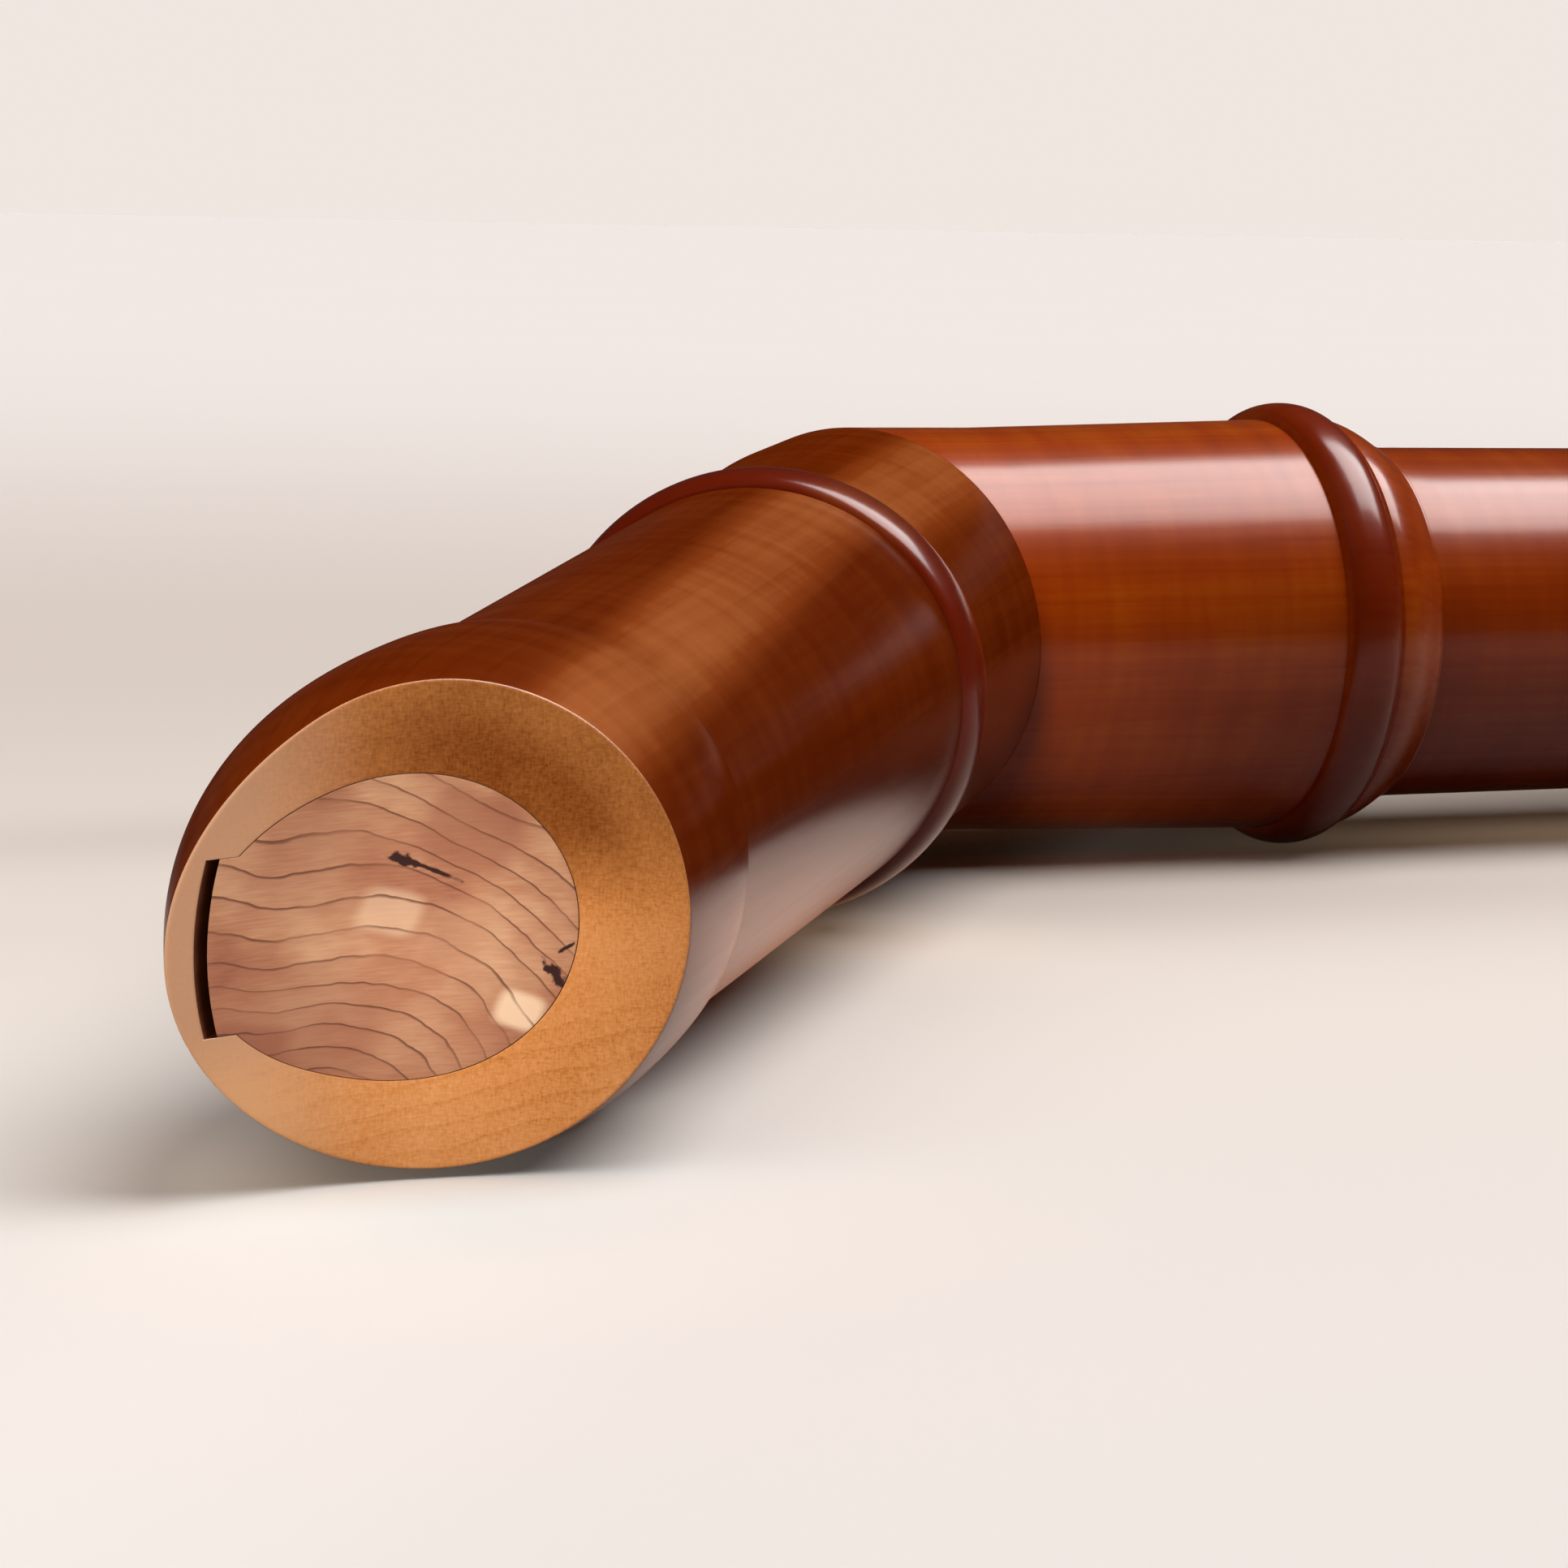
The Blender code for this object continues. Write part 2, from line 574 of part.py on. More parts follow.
def make_middle_joint(parent):
    """Middle joint with its tenons, bore, finger holes and seats for what it carries."""
    top = MIDDLE_START - TOP_TENON_LENGTH
    low = MIDDLE_END + LOW_TENON_LENGTH
    outside = list(reversed(tenon_outline(MIDDLE_START, top, TOP_TENON_RADIUS)))
    outside += [(MIDDLE_START, MIDDLE_RADIUS_TOP), (MIDDLE_END, MIDDLE_RADIUS_LOW)]
    outside += tenon_outline(MIDDLE_END, low, LOW_TENON_RADIUS)
    body = turned("middle_joint", outside + [(low, MIDDLE_BORE_LOW), (top, MIDDLE_BORE_TOP)])
    high = 2 * MIDDLE_RADIUS_TOP
    cut(body, radial_rod("hole", MIDDLE_START + THUMB_HOLE, BACK, 0.0, high, THUMB_BUSH_RADIUS + FIT_GAP, 24))
    for place in FINGER_HOLES:
        cut(body, radial_rod("hole", MIDDLE_START + place, FRONT, 0.0, high, FINGER_HOLE_RADIUS))
    for key in KEYS[:2]:
        key_holes(body, key)
    for axle in AXLES[:2]:
        post_holes(body, axle)
    plates = ((STRAP_PLACE, STRAP_PLATE_LENGTH), (THUMB_REST_PLACE, THUMB_REST_LENGTH))
    for place, length in plates:
        for x in screw_places(place, length):
            deep = middle_radius(x) - SCREW_LENGTH - FIT_GAP
            cut(body, radial_rod("hole", x, BACK, deep, high, SCREW_SHANK_RADIUS + FIT_GAP, TINY_STEPS))
    return settle(body, parent, STAINED_PEAR)


def make_thumb_bush(parent):
    """Hard bush that lines the thumb hole."""
    x = MIDDLE_START + THUMB_HOLE
    low = MIDDLE_BORE_TOP + FIT_GAP
    high = middle_radius(x) + FIT_GAP
    bush = radial_rod("thumb_bush", x, BACK, low, high, THUMB_BUSH_RADIUS, 24)
    hole = THUMB_BUSH_RADIUS - THUMB_BUSH_WALL
    cut(bush, radial_rod("hole", x, BACK, 0.0, 2 * high, hole, 24))
    return settle(bush, parent, BONE)


def make_foot_joint(parent):
    """Foot with its socket, key seats, ring and open end."""
    socket = LOW_TENON_RADIUS + 2 * FIT_GAP
    socket_end = FOOT_START + LOW_TENON_LENGTH + 2 * FIT_GAP
    lip = MIDDLE_RADIUS_LOW + LIP_WALL / 8
    ring_base = FOOT_RADIUS + RING_HEIGHT
    ring_start = FOOT_START + LIP_LENGTH + RING_GROOVE
    ring_end = ring_start + RING_WIDTH
    low_ring_end = FOOT_END - FOOT_END_LENGTH
    low_ring_start = low_ring_end - FOOT_RING_WIDTH
    low_base = FOOT_END_RADIUS + LIP_WALL / 8
    outside = bezier((FOOT_START, lip), (FOOT_START + 0.30 * LIP_LENGTH, 0.65 * lip + 0.35 * ring_base),
                     (FOOT_START + 0.65 * LIP_LENGTH, ring_base + 0.1 * RING_HEIGHT),
                     (FOOT_START + LIP_LENGTH, ring_base + 0.15 * RING_HEIGHT), 6)
    outside += bead(ring_start, ring_end, ring_base, ring_base, RING_HEIGHT, 6)
    outside += bezier((ring_end + RING_GROOVE, FOOT_RADIUS + 0.6 * RING_HEIGHT),
                      (ring_end + RING_WIDTH, FOOT_RADIUS), (ring_end + 1.5 * RING_WIDTH, FOOT_RADIUS),
                      (ring_end + 2 * RING_WIDTH, FOOT_RADIUS), 3)
    bell_start = FOOT_START + KEYS[3].end + 4 * POST_EYE_RADIUS
    bell = low_ring_start - bell_start
    outside += bezier((bell_start, FOOT_RADIUS), (bell_start + 0.5 * bell, FOOT_RADIUS),
                      (bell_start + 0.85 * bell, FOOT_RADIUS), (low_ring_start, low_base), 4)
    outside += bead(low_ring_start, low_ring_end, low_base, low_base, FLOOR_RADIUS - low_base, 8)[1:]
    outside += [(FOOT_END - 0.2 * FOOT_END_LENGTH, low_base), (FOOT_END, FOOT_END_RADIUS)]
    inside = [(FOOT_END, FOOT_BELL_RADIUS), (low_ring_start, FOOT_BORE_LOW), (socket_end, FOOT_BORE_TOP)]
    inside += [(socket_end, socket), (FOOT_START, socket)]
    foot = turned("foot_joint", outside + inside)
    for key in KEYS[2:]:
        key_holes(foot, key)
    post_holes(foot, AXLES[2])
    return settle(foot, parent, STAINED_PEAR, (FOOT_START, 0, 0))


def key_pivot(key):
    """Point on a key's axle, level with its cup."""
    x = key.base + key.cup
    return (x, *polar(key.body_radius(key.base + key.start) + AXLE_LIFT, AXLE_SIDE))


def make_key(key, parent, parent_place):
    """Lever, pad and needle spring of one key. The lever is shaped closed on its seat and then swung open."""
    radius = key.body_radius(key.base + key.start)
    cup_x = key.base + key.cup
    touch_x = key.base + key.touch
    start = key.base + key.start
    end = key.base + key.end
    seat = key.body_radius(cup_x) - SEAT_DEPTH
    axle = polar(radius + AXLE_LIFT, AXLE_SIDE)
    pad_top = seat + FIT_GAP + PAD_THICKNESS
    cup_inside = PAD_RADIUS + FIT_GAP
    cup_outside = cup_inside + CUP_WALL
    cup_low = pad_top - PAD_THICKNESS / 2
    cup_roof = pad_top + FIT_GAP / 2
    outline = [(cup_roof, 0.0), (cup_roof, cup_inside), (cup_low, cup_inside), (cup_low, cup_outside)]
    cup_top = cup_roof + CUP_ROOF
    outline += [(cup_roof + 0.6 * CUP_ROOF, cup_outside), (cup_top, 0.7 * cup_outside), (cup_top, 0.0)]
    lever = turned(key.name, outline, 2 * SMALL_STEPS)
    lever.data.transform(Matrix.Translation((cup_x, 0, 0)) @ Matrix.Rotation(math.pi / 2, 4, "Z"))
    low = radius + ARM_LIFT
    high = low + ARM_THICKNESS
    half = ARM_WIDTH / 2
    cup_edge = math.radians(4)
    arm = prism("arm", strip_outline(low, high, cup_edge, AXLE_SIDE, 8), "X", cup_x - half, cup_x + half)
    pocket = cup_inside + CUP_WALL / 2
    cut(arm, radial_rod("pocket", cup_x, FRONT, 0.0, cup_roof + CUP_ROOF / 3, pocket, 2 * SMALL_STEPS))
    add(lever, arm)
    add(lever, rod("barrel", (start, *axle), (end, *axle), BARREL_RADIUS))
    side = math.radians(TOUCH_SIDE_DEG)
    strip = strip_outline(low, high, side, AXLE_SIDE, 6)
    add(lever, prism("arm", strip, "X", touch_x - half, touch_x + half))
    plate_low = low + ARM_THICKNESS / 3
    add(lever, radial_rod("touch", touch_x, side, plate_low, plate_low + TOUCH_THICKNESS, TOUCH_RADIUS, 24))
    cut(lever, rod("bore", (start - half, *axle), (end + half, *axle), AXLE_RADIUS + FIT_GAP, TINY_STEPS))
    pad = radial_rod(key.name + "_pad", cup_x, FRONT, seat + FIT_GAP, pad_top, PAD_RADIUS, 2 * SMALL_STEPS)
    place = key_pivot(key)
    pivot = new_empty(key.name + "_pivot", parent, Vector(place) - Vector(parent_place), turn_x=KEY_OPEN)
    settle(lever, pivot, BRASS, place)
    settle(pad, pivot, LEATHER, place)
    post = end + POST_EYE_RADIUS + FIT_GAP if key.needle_at_end else start - POST_EYE_RADIUS - FIT_GAP
    arm = max(cup_x, touch_x) if key.needle_at_end else min(cup_x, touch_x)
    way = -1.0 if key.needle_at_end else 1.0
    root = (post + way * (POST_EYE_RADIUS + FIT_GAP), *polar(radius + NEEDLE_LIFT, AXLE_SIDE))
    tip = (arm, *polar(radius + NEEDLE_LIFT + NEEDLE_RISE, AXLE_SIDE - math.radians(NEEDLE_SIDE_DEG)))
    needle = rod(key.name + "_spring", root, tip, NEEDLE_RADIUS, 6)
    settle(needle, parent, STEEL, parent_place)


def make_axle(axle, parent, parent_place):
    """Axle rod with its two posts."""
    first, last = post_places(axle)
    radius = axle.body_radius(axle.base + axle.start)
    line = polar(radius + AXLE_LIFT, AXLE_SIDE)
    head = first - POST_EYE_RADIUS - FIT_GAP
    tail = last + POST_EYE_RADIUS + FIT_GAP
    front = head - AXLE_HEAD_LENGTH
    shaft = [(front, 0.0), (front, AXLE_HEAD_RADIUS), (head, AXLE_HEAD_RADIUS)]
    shaft += [(head, AXLE_RADIUS), (tail, AXLE_RADIUS), (tail, 0.0)]
    pin = turned("axle_" + axle.name, shaft, TINY_STEPS)
    pin.data.transform(Matrix.Translation((0, *line)))
    settle(pin, parent, STEEL, parent_place)
    for number, x in enumerate((first, last), start=1):
        skin = axle.body_radius(x)
        eye = radius + AXLE_LIFT
        base = skin + FIT_GAP
        deep = skin - POST_SHANK_LENGTH
        outline = [(deep, 0.0), (deep, POST_STEM_RADIUS), (base, POST_STEM_RADIUS)]
        outline += [(base, POST_EYE_RADIUS), (base + POST_FLANGE_HEIGHT, POST_EYE_RADIUS)]
        slim = math.asin(POST_STEM_RADIUS / POST_EYE_RADIUS)
        for step in range(7):
            angle = slim + (math.pi - slim) * step / 6
            outline.append((eye - POST_EYE_RADIUS * math.cos(angle), POST_EYE_RADIUS * math.sin(angle)))
        outline[-1] = (outline[-1][0], 0.0)
        post = turned(f"post_{axle.name}_{number}", outline, TINY_STEPS + 2)
        upright = Matrix.Rotation(AXLE_SIDE, 4, "X") @ Matrix.Rotation(math.pi / 2, 4, "Z")
        post.data.transform(Matrix.Translation((x, 0, 0)) @ upright)
        reach = 2 * POST_EYE_RADIUS
        cut(post, rod("eye", (x - reach, *line), (x + reach, *line), AXLE_RADIUS + FIT_GAP, TINY_STEPS))
        settle(post, parent, BRASS, parent_place)


def make_screws(name, place, length, thickness, parent):
    """Two wood screws that hold a back plate."""
    for number, x in enumerate(screw_places(place, length), start=1):
        skin = middle_radius(x)
        seat = skin + 2 * FIT_GAP + thickness
        tip = skin - SCREW_LENGTH
        outline = [(tip, 0.0), (tip, SCREW_SHANK_RADIUS), (seat, SCREW_SHANK_RADIUS)]
        outline += [(seat, SCREW_HEAD_RADIUS), (seat + SCREW_HEAD_HEIGHT / 2, SCREW_HEAD_RADIUS)]
        outline += [(seat + SCREW_HEAD_HEIGHT, SCREW_HEAD_RADIUS / 2), (seat + SCREW_HEAD_HEIGHT, 0.0)]
        screw = turned(f"{name}_screw_{number}", outline, TINY_STEPS + 2)
        screw.data.transform(Matrix.Translation((x, 0, 0)) @ Matrix.Rotation(-math.pi / 2, 4, "Z"))
        settle(screw, parent, BRASS)


def back_plate(name, place, length, spread_deg, thickness):
    """Curved plate on the back of the middle joint with its two screw holes."""
    x = MIDDLE_START + place
    low = middle_radius(x - length / 2) + FIT_GAP
    spread = math.radians(spread_deg)
    outline = strip_outline(low, low + thickness, BACK - spread, BACK + spread, 8)
    plate = prism(name, outline, "X", x - length / 2, x + length / 2)
    for screw_x in screw_places(place, length):
        cut(plate, radial_rod("hole", screw_x, BACK, 0.0, 2 * low, SCREW_SHANK_RADIUS + FIT_GAP, TINY_STEPS))
    return plate, low + thickness


def make_strap_eye(parent):
    """Plate with the eye, and the ring that swings in it."""
    plate, top = back_plate("strap_plate", STRAP_PLACE, STRAP_PLATE_LENGTH, STRAP_PLATE_SPREAD_DEG,
                            STRAP_PLATE_THICKNESS)
    x = MIDDLE_START + STRAP_PLACE
    eye = middle_radius(x) + STRAP_EYE_LIFT
    edge = STRAP_EYE_HOLE + STRAP_EYE_WALL
    root = top - STRAP_PLATE_THICKNESS / 2
    outline = [(-root, edge)]
    for step in range(9):
        angle = math.pi / 2 + math.pi * step / 8
        outline.append((-eye + edge * math.cos(angle), edge * math.sin(angle)))
    outline.append((-root, -edge))
    half = STRAP_EYE_WIDTH / 2
    add(plate, prism("lug", outline, "X", x - half, x + half))
    cut(plate, rod("hole", (x - edge, -eye, 0), (x + edge, -eye, 0), STRAP_EYE_HOLE))
    settle(plate, parent, BRASS)
    make_screws("strap_plate", STRAP_PLACE, STRAP_PLATE_LENGTH, STRAP_PLATE_THICKNESS, parent)
    pivot = new_empty("strap_ring_pivot", parent, (x, -eye, 0))
    wire = []
    for step in range(8):
        along, outward = polar(STRAP_WIRE_RADIUS, math.tau * step / 8)
        wire.append((along, STRAP_RING_RADIUS + outward))
    ring = turned("strap_ring", wire, 24)
    ring.data.transform(Matrix.Translation((0, 0, -STRAP_RING_RADIUS)) @ Matrix.Rotation(math.pi / 2, 4, "Z"))
    settle(ring, pivot, BRASS)


def make_thumb_rest(parent):
    """Curved thumb rest with its ledge and screws."""
    plate, top = back_plate("thumb_rest", THUMB_REST_PLACE, THUMB_REST_LENGTH, THUMB_REST_SPREAD_DEG,
                            THUMB_REST_THICKNESS)
    x = MIDDLE_START + THUMB_REST_PLACE
    root = top - THUMB_REST_THICKNESS / 2
    half = THUMB_LEDGE_WIDTH / 2
    corner = THUMB_LEDGE_HEIGHT / 2
    outline = [(-root, half)]
    for step in range(7):
        angle = math.pi / 2 + math.pi * step / 6
        outline.append((-top - corner + corner * math.cos(angle), half * math.sin(angle)))
    outline.append((-root, -half))
    add(plate, prism("ledge", outline, "X", x - THUMB_LEDGE_THICKNESS / 2, x + THUMB_LEDGE_THICKNESS / 2))
    settle(plate, parent, BRASS)
    make_screws("thumb_rest", THUMB_REST_PLACE, THUMB_REST_LENGTH, THUMB_REST_THICKNESS, parent)


def rest_on_floor(root):
    """Put the lowest point on the floor and the middle of the footprint on the origin."""
    bpy.context.view_layer.update()
    corners = []
    for thing in bpy.data.objects:
        if thing.type == "MESH":
            corners += [thing.matrix_world @ vertex.co for vertex in thing.data.vertices]
    low = [min(corner[k] for corner in corners) for k in range(3)]
    high = [max(corner[k] for corner in corners) for k in range(3)]
    root.location = (-(low[0] + high[0]) / 2, -(low[1] + high[1]) / 2, -low[2])
    bpy.context.view_layer.update()


def main():
    """Build every piece and lay the instrument on its side."""
    clear_scene()
    roll = math.asin((FLOOR_RADIUS - COLLAR_RADIUS) / (COLLAR_PEAK * math.sin(BEND)))
    root = new_empty("instrument", None, (0, 0, 0), turn_x=roll)
    head = new_empty("head_slide", root, (0, 0, 0))
    head_frame = new_empty("head_frame", head, (0, 0, 0), turn_z=math.pi + BEND)
    foot_place = (FOOT_START, 0, 0)
    foot = new_empty("foot_turn", root, foot_place)
    make_head_joint(head_frame)
    make_block(head_frame)
    make_knee_upper(head_frame)
    make_knee_lower(head)
    make_middle_joint(root)
    make_cork("head_tenon_cork", MIDDLE_START, MIDDLE_START - TOP_TENON_LENGTH, TOP_TENON_RADIUS, root)
    make_cork("foot_tenon_cork", MIDDLE_END, MIDDLE_END + LOW_TENON_LENGTH, LOW_TENON_RADIUS, root)
    make_thumb_bush(root)
    make_strap_eye(root)
    make_thumb_rest(root)
    make_foot_joint(foot)
    for key in KEYS[:2]:
        make_key(key, root, (0, 0, 0))
    for axle in AXLES[:2]:
        make_axle(axle, root, (0, 0, 0))
    for key in KEYS[2:]:
        make_key(key, foot, foot_place)
    make_axle(AXLES[2], foot, foot_place)
    rest_on_floor(root)


main()
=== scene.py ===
"""Looks of a bent-neck bass recorder that lies on its side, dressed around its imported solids.

Lengths are metres and +Z is up. Pieces are shaped in one of two frames of the instrument. Both start
where the two axes of the knee meet. In the body frame X runs to the foot, Y points out of the finger
holes and Z is up. In the head frame X runs to the mouth and the windway is on the -Y side.
"""

import json
import logging
import math
from dataclasses import dataclass, replace
from enum import Enum, IntEnum
from functools import cached_property
from typing import Callable, Optional, Sequence, Union

import bmesh
import bpy
import numpy as np
from bpy.types import Light, Material, Mesh, Node, NodeSocket, NodeTree, Object
from mathutils import Euler, Matrix, Vector


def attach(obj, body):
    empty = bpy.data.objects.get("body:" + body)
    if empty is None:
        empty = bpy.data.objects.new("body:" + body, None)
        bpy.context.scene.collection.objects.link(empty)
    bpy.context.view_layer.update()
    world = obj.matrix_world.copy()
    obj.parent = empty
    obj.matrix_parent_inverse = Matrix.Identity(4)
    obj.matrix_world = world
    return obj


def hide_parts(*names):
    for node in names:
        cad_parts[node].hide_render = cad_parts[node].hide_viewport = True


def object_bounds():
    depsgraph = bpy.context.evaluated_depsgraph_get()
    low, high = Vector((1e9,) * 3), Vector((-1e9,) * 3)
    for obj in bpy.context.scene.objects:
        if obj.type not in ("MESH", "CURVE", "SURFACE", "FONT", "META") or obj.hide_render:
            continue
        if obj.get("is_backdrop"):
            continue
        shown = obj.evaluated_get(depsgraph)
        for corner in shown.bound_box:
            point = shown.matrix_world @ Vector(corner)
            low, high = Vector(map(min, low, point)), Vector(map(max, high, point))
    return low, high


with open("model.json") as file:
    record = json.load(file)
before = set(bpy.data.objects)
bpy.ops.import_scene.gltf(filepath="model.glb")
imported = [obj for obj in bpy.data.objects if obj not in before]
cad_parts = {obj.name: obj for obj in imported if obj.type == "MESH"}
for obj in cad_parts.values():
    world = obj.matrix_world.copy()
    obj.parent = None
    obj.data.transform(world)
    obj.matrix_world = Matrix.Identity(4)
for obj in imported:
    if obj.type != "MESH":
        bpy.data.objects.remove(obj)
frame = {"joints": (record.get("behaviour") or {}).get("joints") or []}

LOG = logging.getLogger("recorder")

# Edges from this angle on stay sharp
SHARP_DEG = 28.0
# Points nearer than this are one
SAME_POINT = 1e-7
# A soft corner takes up at most this share of either side
CORNER_SHARE = 0.45
# Half the width of a screwdriver slot and half the length of its cutter
SLOT = (0.0003, 0.004)

Colour = tuple[float, float, float]
Point = tuple[float, float]
Place = tuple[float, float, float]
Oval = tuple[Point, Point]
Patch = tuple[float, Point, float]
Knot = tuple[Point, Point, float, float]
Skin = Callable[[float], float]


class Body(Enum):
    """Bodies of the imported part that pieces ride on."""

    MIDDLE = "middle"
    HEAD = "head"
    BLOCK = "block"
    FOOT = "foot"
    STRAP_RING = "strap_ring"
    KEY_HOLE_3 = "key_hole_3"
    KEY_HOLE_6 = "key_hole_6"
    KEY_F_SHARP = "key_f_sharp"
    KEY_LOW_F = "key_low_f"


class Slot(Enum):
    """Material slots of the record."""

    PEAR = "pear_wood"
    CEDAR = "cedar"
    CORK = "cork"
    LEATHER = "pad_leather"
    STEEL = "steel"
    BRASS = "brass"
    BONE = "bone"


class Side(Enum):
    """Sides of the middle axis, as angles from the finger holes."""

    FRONT = 0.0
    BACK = math.pi


class Along(Enum):
    """Axes that a prism runs along, as the order of its outline's two values and its length."""

    X = (2, 0, 1)
    Z = (0, 1, 2)


class Shaping(Enum):
    """What a tool does to a piece."""

    CUT = "DIFFERENCE"
    JOIN = "UNION"


class Facets(IntEnum):
    """Facets round small shapes, odd for most tools so that they do not line up with a piece."""

    NEEDLE = 20
    POST_HOLE = 21
    EYE = 27
    ARM = 28
    BARREL_BORE = 31
    PIN = 36
    STRAP_DRILL = 39
    SCREW = 40
    BARREL = 43
    POST = 44
    FINGER_HOLE = 47
    THUMB_HOLE = 53
    TONE_HOLE = 57
    POCKET = 61
    DISC = 64
    TOUCH = 66
    CUP = 72
    WIDE = 96


# Sizes that several pieces share


@dataclass(frozen=True)
class Layout:
    """Sizes and places that the pieces have in common."""

    bend_deg: float = 57.2
    knee_radius: float = 0.0290
    bore_radius: float = 0.0147
    upper_knee: float = 0.0696
    lower_knee: float = 0.0632
    ring_base: float = 0.0302
    ring_height: float = 0.0025
    ring_width: float = 0.0084
    ring_groove: float = 0.0006
    lip_length: float = 0.0082
    lip_wall: float = 0.0055
    fit_gap: float = 0.0003
    seam: float = 0.00002
    mitre_spare: float = 0.0012
    upper_stain: Point = (-0.0050, 0.0066)
    lower_stain: Point = (0.0042, 0.0046)
    neck_length: float = 0.1135
    neck_low: float = 0.0270
    neck_high: float = 0.0237
    neck_tenon_length: float = 0.0250
    neck_tenon_radius: float = 0.0200
    beak_length: float = 0.0601
    middle_length: float = 0.4050
    middle_top: float = 0.0261
    middle_low: float = 0.0247
    top_tenon_length: float = 0.0400
    top_tenon_radius: float = 0.0209
    low_tenon_length: float = 0.0340
    low_tenon_radius: float = 0.0175
    cork_inset: float = 0.0070
    cork_thickness: float = 0.0015
    foot_length: float = 0.2197
    foot_outside: float = 0.0260

    @property
    def bend(self) -> float:
        """Angle between the head's axis and the middle's, in radians."""
        return math.radians(self.bend_deg)

    @property
    def mitre_slope(self) -> float:
        """How far the mitre runs along the axis for each step across it."""
        return math.tan(self.bend / 2)

    @property
    def mitre_straight(self) -> float:
        """Distance from the bend at which the whole mitre has been passed."""
        return self.knee_radius * self.mitre_slope + self.mitre_spare

    @property
    def collar_start(self) -> float:
        """Crease between neck and collar, on the head's axis."""
        return self.upper_knee + self.neck_length

    @property
    def beak_tip(self) -> float:
        """Tip of the beak, on the head's axis."""
        return self.collar_start + self.beak_length

    @property
    def knee_end(self) -> float:
        """End of the lower knee's lip."""
        return self.lower_knee + self.ring_width + self.ring_groove + self.lip_length

    @property
    def middle_start(self) -> float:
        """Upper shoulder of the middle joint."""
        return self.knee_end + self.fit_gap

    @property
    def middle_end(self) -> float:
        """Lower shoulder of the middle joint."""
        return self.middle_start + self.middle_length

    @property
    def foot_start(self) -> float:
        """Upper end of the foot."""
        return self.middle_end + self.fit_gap

    @property
    def foot_end(self) -> float:
        """Lower end of the foot."""
        return self.foot_start + self.foot_length

    @property
    def floor_radius(self) -> float:
        """Radius of the two rings that touch the floor."""
        return self.ring_base + self.ring_height

    def middle_radius(self, x: float) -> float:
        """Outside radius of the middle joint at a place on its axis."""
        share = (x - self.middle_start) / self.middle_length
        return self.middle_top + share * (self.middle_low - self.middle_top)

    def foot_radius(self, _x: float) -> float:
        """Outside radius of the foot where its keys sit, the same at each place."""
        return self.foot_outside

    @property
    def stained_rings(self) -> Oval:
        """Middle and half width of the stain on the upper knee's ring and on the lower one's."""
        upper = (self.upper_knee + self.upper_stain[0], self.upper_stain[1])
        return upper, (self.lower_knee + self.lower_stain[0], self.lower_stain[1])


@dataclass(frozen=True)
class Setting:
    """Where the two frames of the instrument lie in the row frame."""

    body: Matrix
    head: Matrix

    @classmethod
    def from_joints(cls, joints: Sequence[dict], layout: Layout) -> "Setting":
        """Read the instrument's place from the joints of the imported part.

        Args:
            joints: Joints as the frame lists them.
            layout: Shared sizes.

        Returns:
            The setting of both frames.
        """
        by_name = {joint["name"]: joint for joint in joints}
        axis = by_name["block_slide"]["axis"]
        roll = math.atan2(-axis[2], -axis[1])
        turned = Matrix.Rotation(roll, 4, "X")
        start = Vector(by_name["foot_turn"]["pos_m"]) - Vector((layout.foot_start, 0.0, 0.0))
        body = Matrix.Translation(start) @ turned
        return cls(body, body @ Matrix.Rotation(math.pi + layout.bend, 4, "Z"))


# Curves and meshes


def bezier(first: Point, pull_first: Point, pull_last: Point, last: Point, steps: int) -> list[Point]:
    """Points of a cubic curve, both ends included.

    Args:
        first: Start of the curve.
        pull_first: Point that the curve heads for at its start.
        pull_last: Point that the curve comes from at its end.
        last: End of the curve.
        steps: Number of steps along it.

    Returns:
        The points in order.
    """
    corners = np.array([first, pull_first, pull_last, last])
    t = np.linspace(0.0, 1.0, steps + 1)[:, None]
    u = 1.0 - t
    weights = np.hstack([u**3, 3 * u * u * t, 3 * u * t * t, t**3])
    return [tuple(point) for point in weights @ corners]


def bead(start: float, end: float, base: Point, height: float, steps: int = 24) -> list[Point]:
    """Half-round bead on a sloping base, both ends included.

    Args:
        start: Place of its first edge.
        end: Place of its last edge.
        base: Radius under the first edge and under the last.
        height: Rise above the base.
        steps: Number of steps along it.

    Returns:
        The (x, radius) points in order.
    """
    angle = np.linspace(0.0, math.pi, steps + 1)
    share = 0.5 - 0.5 * np.cos(angle)
    radius = base[0] + share * (base[1] - base[0]) + height * np.sin(angle)
    return list(zip(start + share * (end - start), radius))


def rounded(first: np.ndarray, corner: np.ndarray, last: np.ndarray, steps: int = 3) -> list[np.ndarray]:
    """Places between two others, bent round a corner, both ends left out."""
    shares = [(k + 1) / (steps + 1) for k in range(steps)]
    return [(1 - t) ** 2 * first + 2 * t * (1 - t) * corner + t * t * last for t in shares]


def polar(radius: float, angle: float) -> Point:
    """Point (y, z) at a radius and an angle from the front."""
    return radius * math.cos(angle), radius * math.sin(angle)


def around(count: int, start: float = 0.0) -> np.ndarray:
    """Even angles once round."""
    return np.linspace(start, start + math.tau, count, endpoint=False)


